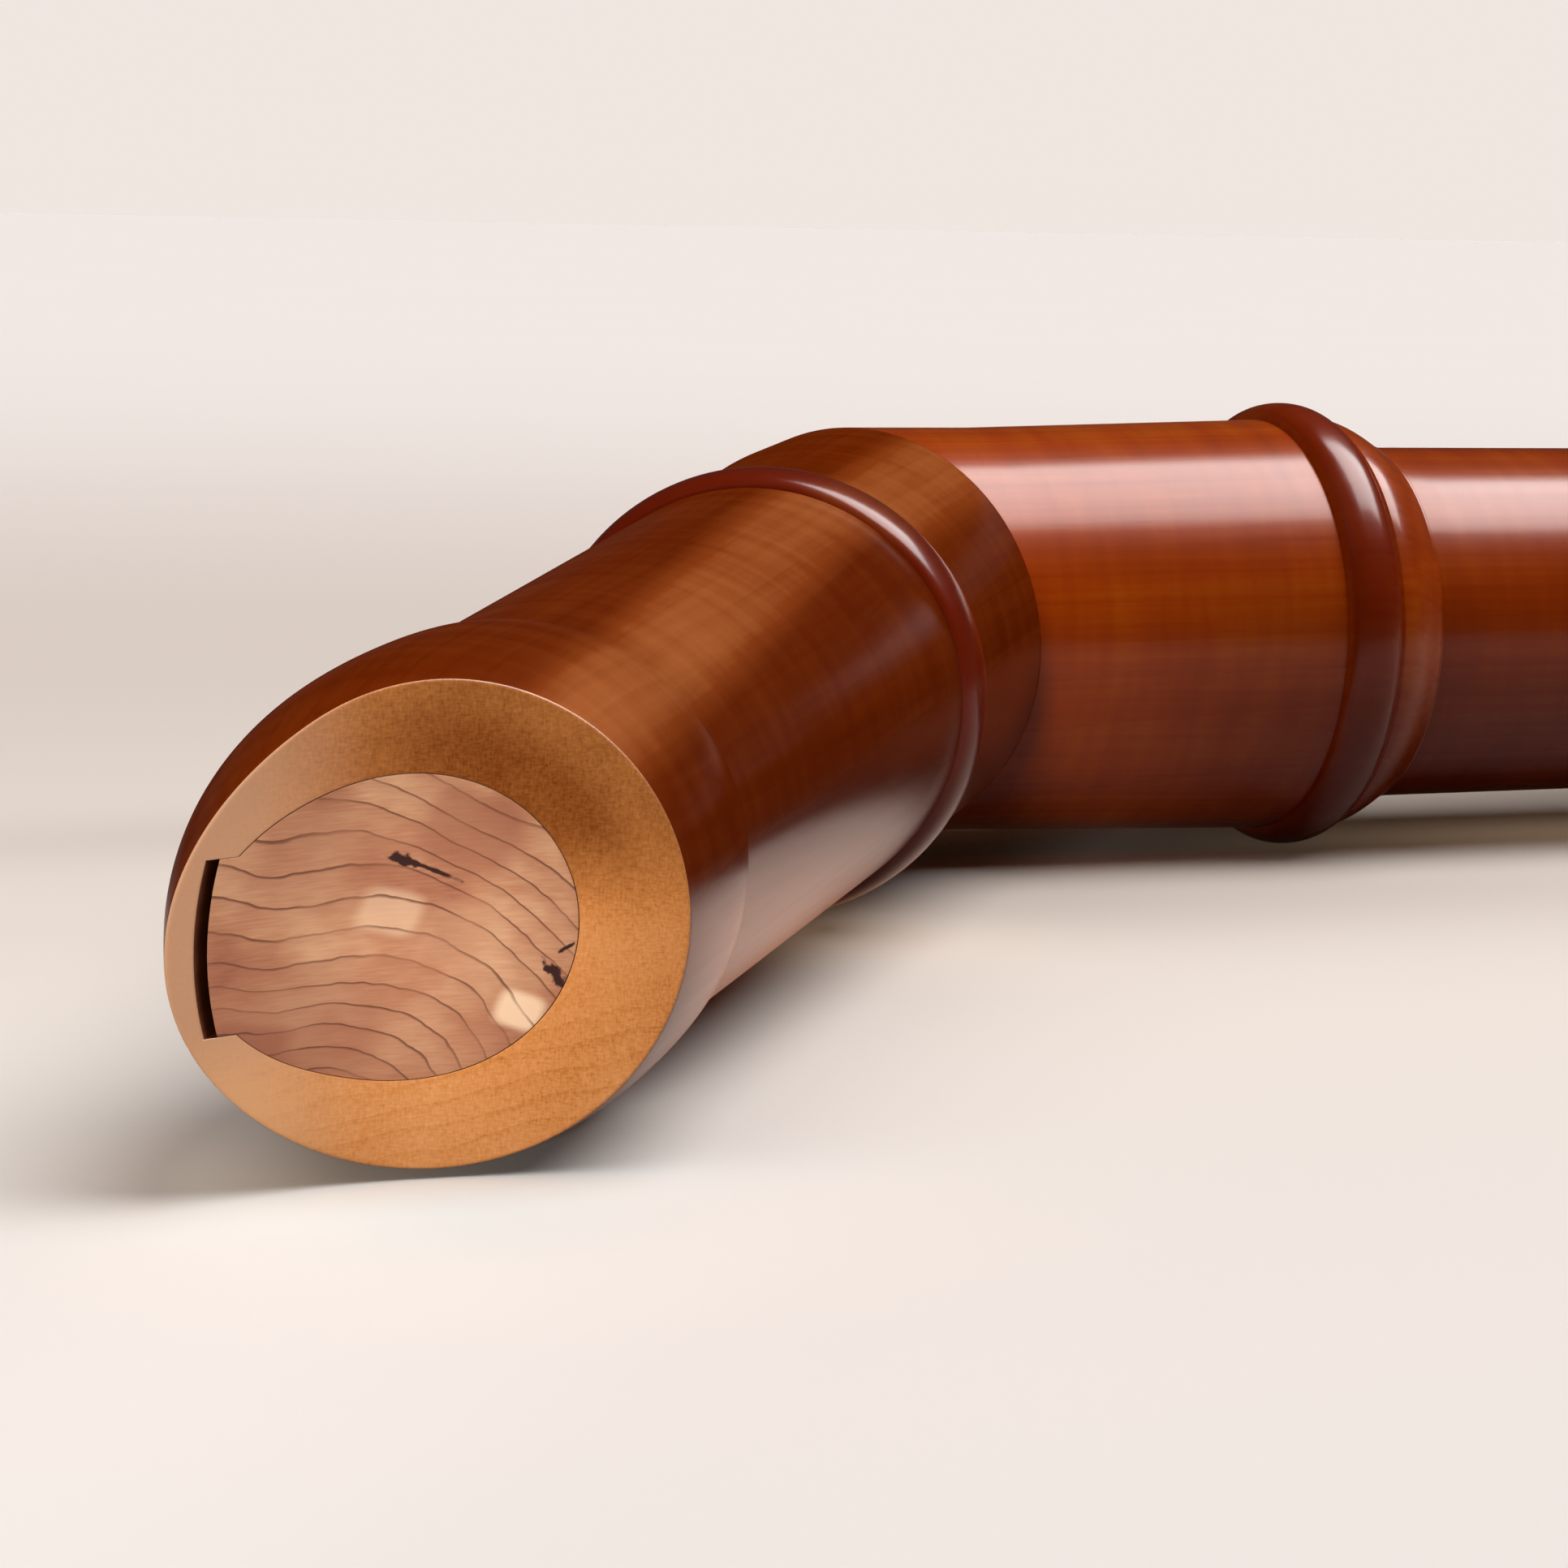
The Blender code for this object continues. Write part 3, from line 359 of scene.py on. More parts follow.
class Outline:
    """An (x, radius) line that a piece is turned from, with softened corners."""

    def __init__(self, *marks: Sequence[float]) -> None:
        """Start with marks: place, radius and, where it is soft, the length it is rounded over."""
        self.marks: list[tuple[float, ...]] = []
        self.add(*marks)

    def add(self, *marks: Sequence[float]) -> "Outline":
        """Add marks at the end."""
        self.marks += [(*mark, 0.0)[:3] for mark in marks]
        return self

    def points(self, closed: bool, pitch: float = 1.0) -> list[Point]:
        """Work the corners and long runs out into points.

        Args:
            closed: Whether the last mark joins the first.
            pitch: Longest step between two points.

        Returns:
            The (x, radius) points in order.
        """
        places = [np.array(mark[:2]) for mark in self.marks]
        line: list[np.ndarray] = []
        count = len(places)
        for k, (place, mark) in enumerate(zip(places, self.marks)):
            inner = closed or 0 < k < count - 1
            if mark[2] <= 0.0 or not inner:
                line.append(place)
                continue
            back = places[k - 1] - place
            ahead = places[(k + 1) % count] - place
            most = [CORNER_SHARE * np.linalg.norm(side) for side in (back, ahead)]
            reach = min(mark[2], *most)
            first = place + back * reach / np.linalg.norm(back)
            last = place + ahead * reach / np.linalg.norm(ahead)
            line += [first, *rounded(first, place, last), last]
        fine = []
        for k, place in enumerate(line):
            fine.append(tuple(place))
            if k + 1 == len(line) and not closed:
                break
            step = line[(k + 1) % len(line)] - place
            cuts = int(np.linalg.norm(step) / pitch)
            fine += [tuple(place + step * (c + 1) / (cuts + 1)) for c in range(cuts)]
        return fine


def weld(mesh: Mesh) -> Mesh:
    """Merge doubled points and point every face outwards.

    Args:
        mesh: Mesh to work on.

    Returns:
        The same mesh.
    """
    shape = bmesh.new()
    shape.from_mesh(mesh)
    bmesh.ops.remove_doubles(shape, verts=shape.verts, dist=SAME_POINT)
    bmesh.ops.recalc_face_normals(shape, faces=shape.faces)
    shape.to_mesh(mesh)
    shape.free()
    return mesh


def mesh_from_rows(
    name: str, rows: Sequence, closed: bool, strips: Optional[Sequence[int]] = None
) -> Mesh:
    """Skin a stack of closed rows of points.

    Args:
        name: Name of the mesh.
        rows: Rows of points, each row going once round.
        closed: Whether the last row joins the first.
        strips: Material number of the skin after each row.

    Returns:
        The welded mesh.
    """
    points = np.asarray(rows, float)
    count, columns = points.shape[:2]
    number = np.arange(count if closed else count - 1)[:, None]
    row, above = number * columns, (number + 1) % count * columns
    column = np.arange(columns)[None, :]
    after = (column + 1) % columns
    faces = np.stack([row + column, row + after, above + after, above + column], -1)
    mesh = bpy.data.meshes.new(name)
    mesh.from_pydata(points.reshape(-1, 3).tolist(), [], faces.reshape(-1, 4).tolist())
    if strips is not None:
        mesh.polygons.foreach_set("material_index", np.repeat(np.asarray(strips)[: len(row)], columns))
    return weld(mesh)


def rows_about_axis(turns: np.ndarray, stations: Sequence, front: float) -> list[np.ndarray]:
    """Rows of points round the X axis.

    Args:
        turns: Angles of the columns from the front.
        stations: (place, radius) of each row, as numbers or as one for each column.
        front: Sign of the Y side that is the front.

    Returns:
        The rows.
    """
    rows = []
    for place, radius in stations:
        s = np.broadcast_to(place, turns.shape)
        r = np.broadcast_to(radius, turns.shape)
        rows.append(np.stack([s, front * r * np.cos(turns), r * np.sin(turns)], -1))
    return rows


def new_object(name: str, mesh: Mesh) -> Object:
    """Link a mesh to the scene as an object.

    Args:
        name: Name of the object.
        mesh: What it shows.

    Returns:
        The object.
    """
    thing = bpy.data.objects.new(name, mesh)
    bpy.context.scene.collection.objects.link(thing)
    return thing


def moved(piece: Object, matrix: Matrix) -> Object:
    """Move a piece's mesh."""
    piece.data.transform(matrix)
    return piece


def rod(low: float, high: float, radius: float) -> Outline:
    """Outline of a plain rod."""
    return Outline((low, 0.0), (low, radius), (high, radius), (high, 0.0))


def turned(name: str, line: Outline, steps: int, pitch: float = 1.0) -> Object:
    """Turn an outline about X, as a ring unless it starts on the axis.

    Args:
        name: Name of the piece.
        line: Its outline.
        steps: Number of facets round the axis.
        pitch: Longest step along the outline.

    Returns:
        The turned piece.
    """
    closed = line.marks[0][1] > 0.0
    rows = rows_about_axis(around(steps), line.points(closed, pitch), 1.0)
    return new_object(name, mesh_from_rows(name, rows, closed))


def turned_at(name: str, line: Outline, steps: int, x: float, angle: float) -> Object:
    """Turn an outline about a line that leaves the middle axis square at a place and an angle."""
    upright = Matrix.Rotation(angle, 4, "X") @ Matrix.Rotation(math.pi / 2, 4, "Z")
    return moved(turned(name, line, steps), Matrix.Translation((x, 0.0, 0.0)) @ upright)


def prism(name: str, outline: Sequence[Point], axis: Along, low: float, high: float) -> Object:
    """Extrude an outline.

    Args:
        name: Name of the piece.
        outline: (y, z) points for the X axis, (x, y) points for the Z axis.
        axis: Axis that it runs along.
        low: Where the extrusion starts.
        high: Where it ends.

    Returns:
        The extruded piece.
    """
    ends = [np.array([(*point, end) for point in outline])[:, axis.value] for end in (low, high)]
    caps = [np.tile(row.mean(0), (len(outline), 1)) for row in ends]
    return new_object(name, mesh_from_rows(name, [caps[0], *ends, caps[1]], False))


def slot_cutter(low: float, high: float) -> Object:
    """Cutter of a screwdriver slot across the X axis.

    Args:
        low: Where it starts on the X axis.
        high: Where it ends.

    Returns:
        The cutter.
    """
    half, reach = SLOT
    outline = [(-half, -reach), (half, -reach), (half, reach), (-half, reach)]
    return prism("slot", outline, Along.X, low, high)


def applied(piece: Object) -> Object:
    """Turn a piece's modifiers into plain mesh.

    Args:
        piece: Piece with modifiers.

    Returns:
        The piece without them.
    """
    graph = bpy.context.evaluated_depsgraph_get()
    mesh = bpy.data.meshes.new_from_object(piece.evaluated_get(graph))
    piece.modifiers.clear()
    piece.data = mesh
    return piece


def combine(target: Object, tool: Object, shaping: Shaping) -> Object:
    """Cut or join a piece with a tool, which is used up.

    Args:
        target: Piece to shape.
        tool: Closed shape to do it with.
        shaping: What the tool does.

    Returns:
        The shaped piece.
    """
    modifier = target.modifiers.new("shape", "BOOLEAN")
    modifier.operation = shaping.value
    modifier.solver = "EXACT"
    modifier.object = tool
    applied(target)
    bpy.data.objects.remove(tool, do_unlink=True)
    return target


def gather(name: str, things: Sequence[Object]) -> Object:
    """Put separate shapes into one object.

    Args:
        name: Name of the object.
        things: The shapes, which are used up.

    Returns:
        The object.
    """
    shape = bmesh.new()
    for thing in things:
        shape.from_mesh(thing.data)
        bpy.data.objects.remove(thing, do_unlink=True)
    mesh = bpy.data.meshes.new(name)
    shape.to_mesh(mesh)
    shape.free()
    return new_object(name, mesh)


def wear(piece: Object, *materials: Material) -> Object:
    """Give a piece its materials in slot order.

    Args:
        piece: The piece.
        materials: Its materials.

    Returns:
        The same piece.
    """
    for material in materials:
        piece.data.materials.append(material)
    return piece


def line_bore(piece: Object, radius: float) -> Object:
    """Give a turned piece's bore the second material.

    Args:
        piece: Piece about the X axis.
        radius: Distance from the axis within which a face belongs to the bore.

    Returns:
        The piece.
    """
    for face in piece.data.polygons:
        if math.hypot(face.center.y, face.center.z) < radius:
            face.material_index = 1
    return piece


def settle(piece: Object, matrix: Matrix) -> Object:
    """Put a piece's mesh in its place and smooth its shading.

    Args:
        piece: Piece in a frame of the instrument.
        matrix: That frame's place in the row frame.

    Returns:
        The piece, with its object at the origin.
    """
    piece.data.transform(matrix)
    piece.data.shade_smooth()
    piece.data.set_sharp_from_angle(angle=math.radians(SHARP_DEG))
    return piece


def hand_over(piece: Object, body: Body, slot: Slot, *nodes: str) -> None:
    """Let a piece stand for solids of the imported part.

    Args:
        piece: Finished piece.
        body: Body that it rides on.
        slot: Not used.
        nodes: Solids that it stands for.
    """
    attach(piece, body.value)
    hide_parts(*nodes)
    LOG.info("%s: %d faces on %s", piece.name, len(piece.data.polygons), body.value)


def deliver(piece: Object, finish: Material, matrix: Matrix, body: Body, slot: Slot, node: str) -> None:
    """Dress and place a piece of one material and let it stand for a solid."""
    settle(wear(piece, finish), matrix)
    hand_over(piece, body, slot, node)


# Repeated fittings


class SetOut:
    """Sets one fitting out on many places with a node tree."""

    def __init__(self) -> None:
        """Build the tree with its named inputs."""
        self.tree = bpy.data.node_groups.new("set_out", "GeometryNodeTree")
        for name, kind in (("Places", "Geometry"), ("Fitting", "Object"), ("Finish", "Material")):
            self.tree.interface.new_socket(name, in_out="INPUT", socket_type="NodeSocket" + kind)
        self.tree.interface.new_socket("Fittings", in_out="OUTPUT", socket_type="NodeSocketGeometry")
        node = Graph(self.tree).node
        given = node("NodeGroupInput").outputs
        source = node("GeometryNodeObjectInfo", None, {"Object": given["Fitting"]})
        turn = node("GeometryNodeInputNamedAttribute", {"data_type": "FLOAT_VECTOR"}, {"Name": "turn"})
        euler = node("FunctionNodeEulerToRotation", None, {"Euler": turn.outputs["Attribute"]})
        sockets = {
            "Points": given["Places"],
            "Instance": source.outputs["Geometry"],
            "Rotation": euler.outputs["Rotation"],
        }
        placed = node("GeometryNodeInstanceOnPoints", None, sockets)
        real = node("GeometryNodeRealizeInstances", None, {"Geometry": placed.outputs["Instances"]})
        sockets = {"Geometry": real.outputs["Geometry"], "Material": given["Finish"]}
        dressed = node("GeometryNodeSetMaterial", None, sockets)
        node("NodeGroupOutput", None, {"Fittings": dressed.outputs["Geometry"]})

    def make(
        self, name: str, fitting: Object, places: Sequence[Place], turns: Sequence[Place], finish: Material
    ) -> Object:
        """Set a fitting out and turn the result into a plain mesh.

        Args:
            name: Name of the piece.
            fitting: Shape to repeat, which is used up.
            places: Where each one goes.
            turns: How each one is turned, as Euler angles.
            finish: Its material.

        Returns:
            One piece with every fitting in it.
        """
        mesh = bpy.data.meshes.new(name)
        mesh.from_pydata([tuple(place) for place in places], [], [])
        attribute = mesh.attributes.new("turn", "FLOAT_VECTOR", "POINT")
        attribute.data.foreach_set("vector", np.asarray(turns, np.float32).ravel())
        piece = new_object(name, mesh)
        modifier = piece.modifiers.new("set_out", "NODES")
        modifier.node_group = self.tree
        values = {"Fitting": fitting, "Finish": finish}
        for socket in self.tree.interface.items_tree:
            if socket.in_out == "INPUT" and socket.name in values:
                modifier[socket.identifier] = values[socket.name]
        applied(piece)
        bpy.data.objects.remove(fitting, do_unlink=True)
        return piece


# Materials


class Tone:
    """One value in a material, with arithmetic that adds Math nodes."""

    def __init__(self, graph: "Graph", socket: NodeSocket) -> None:
        """Wrap an output socket of a tree."""
        self.graph = graph
        self.socket = socket

    def __add__(self, other: "Value") -> "Tone":
        """Sum with another value."""
        return self.graph.math("ADD", self, other)

    def __sub__(self, other: "Value") -> "Tone":
        """Difference from another value."""
        return self.graph.math("SUBTRACT", self, other)

    def __rsub__(self, other: "Value") -> "Tone":
        """Difference of a number from this value."""
        return self.graph.math("SUBTRACT", other, self)

    def __mul__(self, other: "Value") -> "Tone":
        """Product with another value."""
        return self.graph.math("MULTIPLY", self, other)

    def __truediv__(self, other: "Value") -> "Tone":
        """Quotient by another value."""
        return self.graph.math("DIVIDE", self, other)

    def __pow__(self, other: "Value") -> "Tone":
        """Power of this value."""
        return self.graph.math("POWER", self, other)

    __radd__ = __add__


Value = Union[Tone, NodeSocket, float]


class Graph:
    """A tree that is built node by node."""

    def __init__(self, tree: NodeTree) -> None:
        """Start with an empty tree."""
        self.tree = tree
        self.tree.nodes.clear()

    def node(self, kind: str, settings: Optional[dict] = None, sockets: Optional[dict] = None) -> Node:
        """Add any node.

        Args:
            kind: Type of the node.
            settings: Its properties. "stops" sets the stops of a ramp.
            sockets: Values or links of its inputs, by name or number.

        Returns:
            The node.
        """
        node = self.tree.nodes.new(kind)
        for key, value in (settings or {}).items():
            if key == "stops":
                ramp = node.color_ramp
                while len(ramp.elements) < len(value):
                    ramp.elements.new(0.5)
                for element, (place, colour) in zip(ramp.elements, value):
                    element.position = place
                    element.color = (*colour, 1.0)
            else:
                setattr(node, key, value)
        for key, value in (sockets or {}).items():
            entry = node.inputs[key]
            if isinstance(value, Tone):
                value = value.socket
            if isinstance(value, NodeSocket):
                self.tree.links.new(value, entry)
            elif isinstance(value, tuple) and entry.type == "RGBA":
                entry.default_value = (*value, 1.0)
            else:
                entry.default_value = value
        return node

    def math(self, operation: str, *values: Value) -> Tone:
        """Add a Math node on values."""
        node = self.node("ShaderNodeMath", {"operation": operation}, dict(enumerate(values)))
        return Tone(self, node.outputs[0])


class Recipe(Graph):
    """Builds one material."""

    def __init__(self, name: str) -> None:
        """Start a material with an empty tree.

        Args:
            name: Name of the material.
        """
        self.material = bpy.data.materials.new(name)
        self.material.use_nodes = True
        super().__init__(self.material.node_tree)

    def local(self, matrix: Matrix, shift: Place = (0.0, 0.0, 0.0)) -> NodeSocket:
        """Object coordinates in a frame of the instrument.

        Args:
            matrix: The frame's place in the row frame.
            shift: Moves the pattern within that frame.

        Returns:
            The vector socket.
        """
        place = matrix @ Matrix.Translation(shift)
        coordinates = self.node("ShaderNodeTexCoord")
        sockets = {
            "Vector": coordinates.outputs["Object"],
            "Location": place.to_translation(),
            "Rotation": place.to_euler(),
        }
        return self.node("ShaderNodeMapping", {"vector_type": "TEXTURE"}, sockets).outputs[0]

    def split(self, vector: NodeSocket) -> tuple[Tone, ...]:
        """The three parts of a vector."""
        parts = self.node("ShaderNodeSeparateXYZ", None, {0: vector}).outputs
        return tuple(Tone(self, part) for part in parts)

    def noise(self, vector: NodeSocket, scale: Place, detail: float = 2.0) -> Tone:
        """Noise on a stretched vector, about one half on average.

        Args:
            vector: Place that it is read at.
            scale: How fast it changes along each axis.
            detail: Number of finer layers.

        Returns:
            The noise.
        """
        stretch = self.node("ShaderNodeVectorMath", {"operation": "MULTIPLY"}, {0: vector, 1: Vector(scale)})
        sockets = {"Vector": stretch.outputs[0], "Scale": 1.0, "Detail": detail}
        return Tone(self, self.node("ShaderNodeTexNoise", None, sockets).outputs[0])

    def limit(self, value: Tone, low: float, high: float) -> Tone:
        """Smooth step from 0 at low to 1 at high.

        Args:
            value: What is limited.
            low: Value that gives 0.
            high: Value that gives 1.

        Returns:
            The step.
        """
        settings = {"interpolation_type": "SMOOTHSTEP", "clamp": True}
        sockets = {"Value": value, "From Min": low, "From Max": high}
        return Tone(self, self.node("ShaderNodeMapRange", settings, sockets).outputs[0])

    def ramp(self, value: Tone, stops: Sequence[tuple[float, Colour]]) -> NodeSocket:
        """Colour from a value."""
        return self.node("ShaderNodeValToRGB", {"stops": stops}, {0: value}).outputs[0]

    def mix(self, share: Value, first: object, second: object) -> NodeSocket:
        """Mix two colours."""
        settings = {"data_type": "RGBA", "clamp_factor": True}
        return self.node("ShaderNodeMix", settings, {0: share, 6: first, 7: second}).outputs[2]

    def bump(self, height: Tone, strength: float, distance: float) -> NodeSocket:
        """Normal from a height."""
        sockets = {"Height": height, "Strength": strength, "Distance": distance}
        return self.node("ShaderNodeBump", None, sockets).outputs[0]

    def finish(self, dull: Optional[Tone] = None, **sockets: object) -> Material:
        """Close the material with its shader.

        Args:
            dull: Share of the surface that has no gloss.
            sockets: Inputs of the shader, with spaces as underscores.

        Returns:
            The material.
        """
        named = {key.replace("_", " "): value for key, value in sockets.items()}
        surface = self.node("ShaderNodeBsdfPrincipled", None, named).outputs[0]
        if dull is not None:
            matte = self.node("ShaderNodeBsdfPrincipled", None, {**named, "Specular IOR Level": 0.0})
            shares = {0: dull, 1: surface, 2: matte.outputs[0]}
            surface = self.node("ShaderNodeMixShader", None, shares).outputs[0]
        self.node("ShaderNodeOutputMaterial", None, {"Surface": surface})
        return self.material


@dataclass(frozen=True)
class StainedPear:
    """Pear wood, stained red-brown and polished to a satin gloss."""

    deep: Colour = (0.170, 0.0140, 0.0004)
    plain: Colour = (0.360, 0.0470, 0.0008)
    warm: Colour = (0.520, 0.1120, 0.0040)
    ring_stain: Colour = (0.150, 0.0085, 0.0008)
    ring_spacing: float = 0.0036
    roughness: float = 0.20
    gloss_level: float = 0.24
    # Painted sheen: a lighter streak along one side of the piece, twisting along it, with the rest painted
    # darker as shade
    painted_sheen_side_deg: Optional[float] = None
    painted_sheen_from: float = 0.09
    painted_sheen_twist: float = 2.8
    satin: float = 0.0
    figure: float = 1.0
    # Width and strength of the painted sheen, and the painted shade elsewhere
    painted_sheen_edge: float = 0.935
    painted_sheen_gain: float = 0.49
    painted_shade_drop: float = 0.33
    satin_edge: float = 0.006
    ring_core: float = 0.75
    ring_strength: float = 0.75

    def material(
        self, name: str, place: Matrix, shift: Place, pith: Point, rings: Sequence[Point] = ()
    ) -> Material:
        """Make the wood of one piece.

        Args:
            name: Name of the material.
            place: Frame with X along the grain.
            shift: Moves the figure along and across the piece.
            pith: Where the tree's heart lies across the grain.
            rings: Middle and half width of turned rings, which take more stain.

        Returns:
            The material.
        """
        recipe = Recipe(name)
        x, across, up = recipe.split(recipe.local(place))
        wood = recipe.local(place, shift)
        _, y, z = recipe.split(wood)
        fibre = recipe.noise(wood, (14.0, 900.0, 900.0))
        streak = recipe.noise(wood, (7.0, 150.0, 150.0), 3.0)
        cloud = recipe.noise(wood, (11.0, 34.0, 34.0))
        flame = recipe.noise(wood, (230.0, 38.0, 38.0))
        fleck = recipe.limit(recipe.noise(wood, (260.0, 2600.0, 2600.0), 1.0), 0.58, 0.78)
        wander = recipe.noise(wood, (4.0, 45.0, 45.0))
        distance = ((y - pith[0]) ** 2.0 + (z - pith[1]) ** 2.0) ** 0.5 + (wander - 0.5) * 0.006
        late = recipe.math("FRACT", distance / self.ring_spacing) ** 5.0
        tone = (cloud - 0.5) * 0.42 + (streak - 0.5) * 0.26 + (fibre - 0.5) * 0.22
        tone = 0.5 + (tone + (flame - 0.5) * 0.38 - late * 0.06 - fleck * 0.03) * self.figure
        # Painted sheen and shade: lighter where the piece faces one side, darker elsewhere
        if self.painted_sheen_side_deg is not None:
            along = recipe.math("MAXIMUM", x, self.painted_sheen_from) - self.painted_sheen_from
            angle = recipe.math("ARCTAN2", up, across) - math.radians(self.painted_sheen_side_deg)
            facing = recipe.math("COSINE", angle + along * self.painted_sheen_twist)
            tone = tone + recipe.limit(facing, self.painted_sheen_edge, 1.0) * self.painted_sheen_gain - self.painted_shade_drop
        colour = recipe.ramp(tone, ((0.12, self.deep), (0.50, self.plain), (0.88, self.warm)))
        dull = recipe.limit(up, 0.0, self.satin_edge) * self.satin if self.satin else None
        for middle, half in rings:
            between = recipe.limit(recipe.math("ABSOLUTE", x - middle), self.ring_core * half, half)
            colour = recipe.mix((1.0 - between) * self.ring_strength, colour, self.ring_stain)
            dull = dull * between if self.satin else None
        gloss = self.roughness + (fibre - 0.5) * 0.05 + (cloud - 0.5) * 0.06
        relief = recipe.bump(fibre - fleck * 0.4, 0.015, 0.0004)
        return recipe.finish(
            dull, Base_Color=colour, Roughness=gloss, Normal=relief, Specular_IOR_Level=self.gloss_level
        )


@dataclass(frozen=True)
class CutPear:
    """Bare pear wood on the slanted cut of the beak."""

    dark: Colour = (0.170, 0.036, 0.001)
    plain: Colour = (0.620, 0.237, 0.062)
    pale: Colour = (0.830, 0.410, 0.175)
    # Paler, greyer colours towards the windway side of the face, the second one low down
    lip_pale: Colour = (0.555, 0.315, 0.190)
    lip_pale_low: Colour = (0.780, 0.430, 0.215)
    roughness: float = 0.42

    def material(self, name: str, place: Matrix) -> Material:
        """Make the cut face.

        Args:
            name: Name of the material.
            place: Frame with X along the grain.

        Returns:
            The material.
        """
        recipe = Recipe(name)
        wood = recipe.local(place)
        _, y, z = recipe.split(wood)
        pores = recipe.noise(wood, (500.0, 3200.0, 3200.0))
        weave = recipe.noise(wood, (300.0, 1500.0, 4800.0), 3.0)
        cross = recipe.noise(wood, (300.0, 4800.0, 1500.0), 3.0)
        cloud = recipe.noise(wood, (40.0, 95.0, 95.0), 3.0)
        wander = recipe.noise(wood, (30.0, 70.0, 70.0))
        across = z * 0.98 - y * 0.20 + (wander - 0.5) * 0.006
        late = recipe.math("FRACT", across / 0.0024) ** 4.0 * recipe.limit(z, -0.002, -0.012)
        grain = (cloud - 0.5) * 0.34 + (weave - 0.5) * 0.40 + (cross - 0.5) * 0.40
        grain = grain - late * 0.10 - recipe.limit(pores, 0.56, 0.72) * 0.07
        reach = (y ** 2.0 + z ** 2.0) ** 0.5
        # Darker, with less figure, towards the top and the side away from the windway, less so near the rim;
        # paler towards the bottom
        upper_dark = recipe.limit(z, -0.002, 0.010) * recipe.limit(y, -0.016, 0.004)
        upper_dark = upper_dark * (0.38 - recipe.limit(reach, 0.018, 0.023) * 0.14)
        tone = 0.54 + grain * (1.0 - upper_dark * 1.4) - upper_dark + recipe.limit(z, -0.010, -0.020) * 0.08
        colour = recipe.ramp(tone, ((0.10, self.dark), (0.50, self.plain), (0.92, self.pale)))
        # Paler and greyer towards the windway side, paler still low down
        lip_pale = recipe.limit(y, -0.002, -0.013) * 0.85
        lip_tone = recipe.mix(recipe.limit(z, -0.006, -0.016), self.lip_pale, self.lip_pale_low)
        colour = recipe.mix(lip_pale, colour, lip_tone)
        gloss = self.roughness + (cloud - 0.5) * 0.10
        relief = recipe.bump(pores + weave + cross, 0.05, 0.0002)
        return recipe.finish(Base_Color=colour, Roughness=gloss, Normal=relief, Specular_IOR_Level=0.35)


@dataclass(frozen=True)
class BareBore:
    """Oiled wood inside the bores and the windway."""

    dark: Colour = (0.060, 0.012, 0.003)
    plain: Colour = (0.140, 0.036, 0.010)
    roughness: float = 0.50

    def material(self, name: str, place: Matrix) -> Material:
        """Make the inside of a piece.

        Args:
            name: Name of the material.
            place: Frame with X along the grain.

        Returns:
            The material.
        """
        recipe = Recipe(name)
        wood = recipe.local(place)
        fibre = recipe.noise(wood, (40.0, 900.0, 900.0), 3.0)
        cloud = recipe.noise(wood, (20.0, 60.0, 60.0))
        colour = recipe.ramp(fibre * 0.6 + cloud * 0.4, ((0.30, self.dark), (0.70, self.plain)))
        gloss = self.roughness + (fibre - 0.5) * 0.2
        return recipe.finish(Base_Color=colour, Roughness=gloss, Normal=recipe.bump(fibre, 0.08, 0.0004))


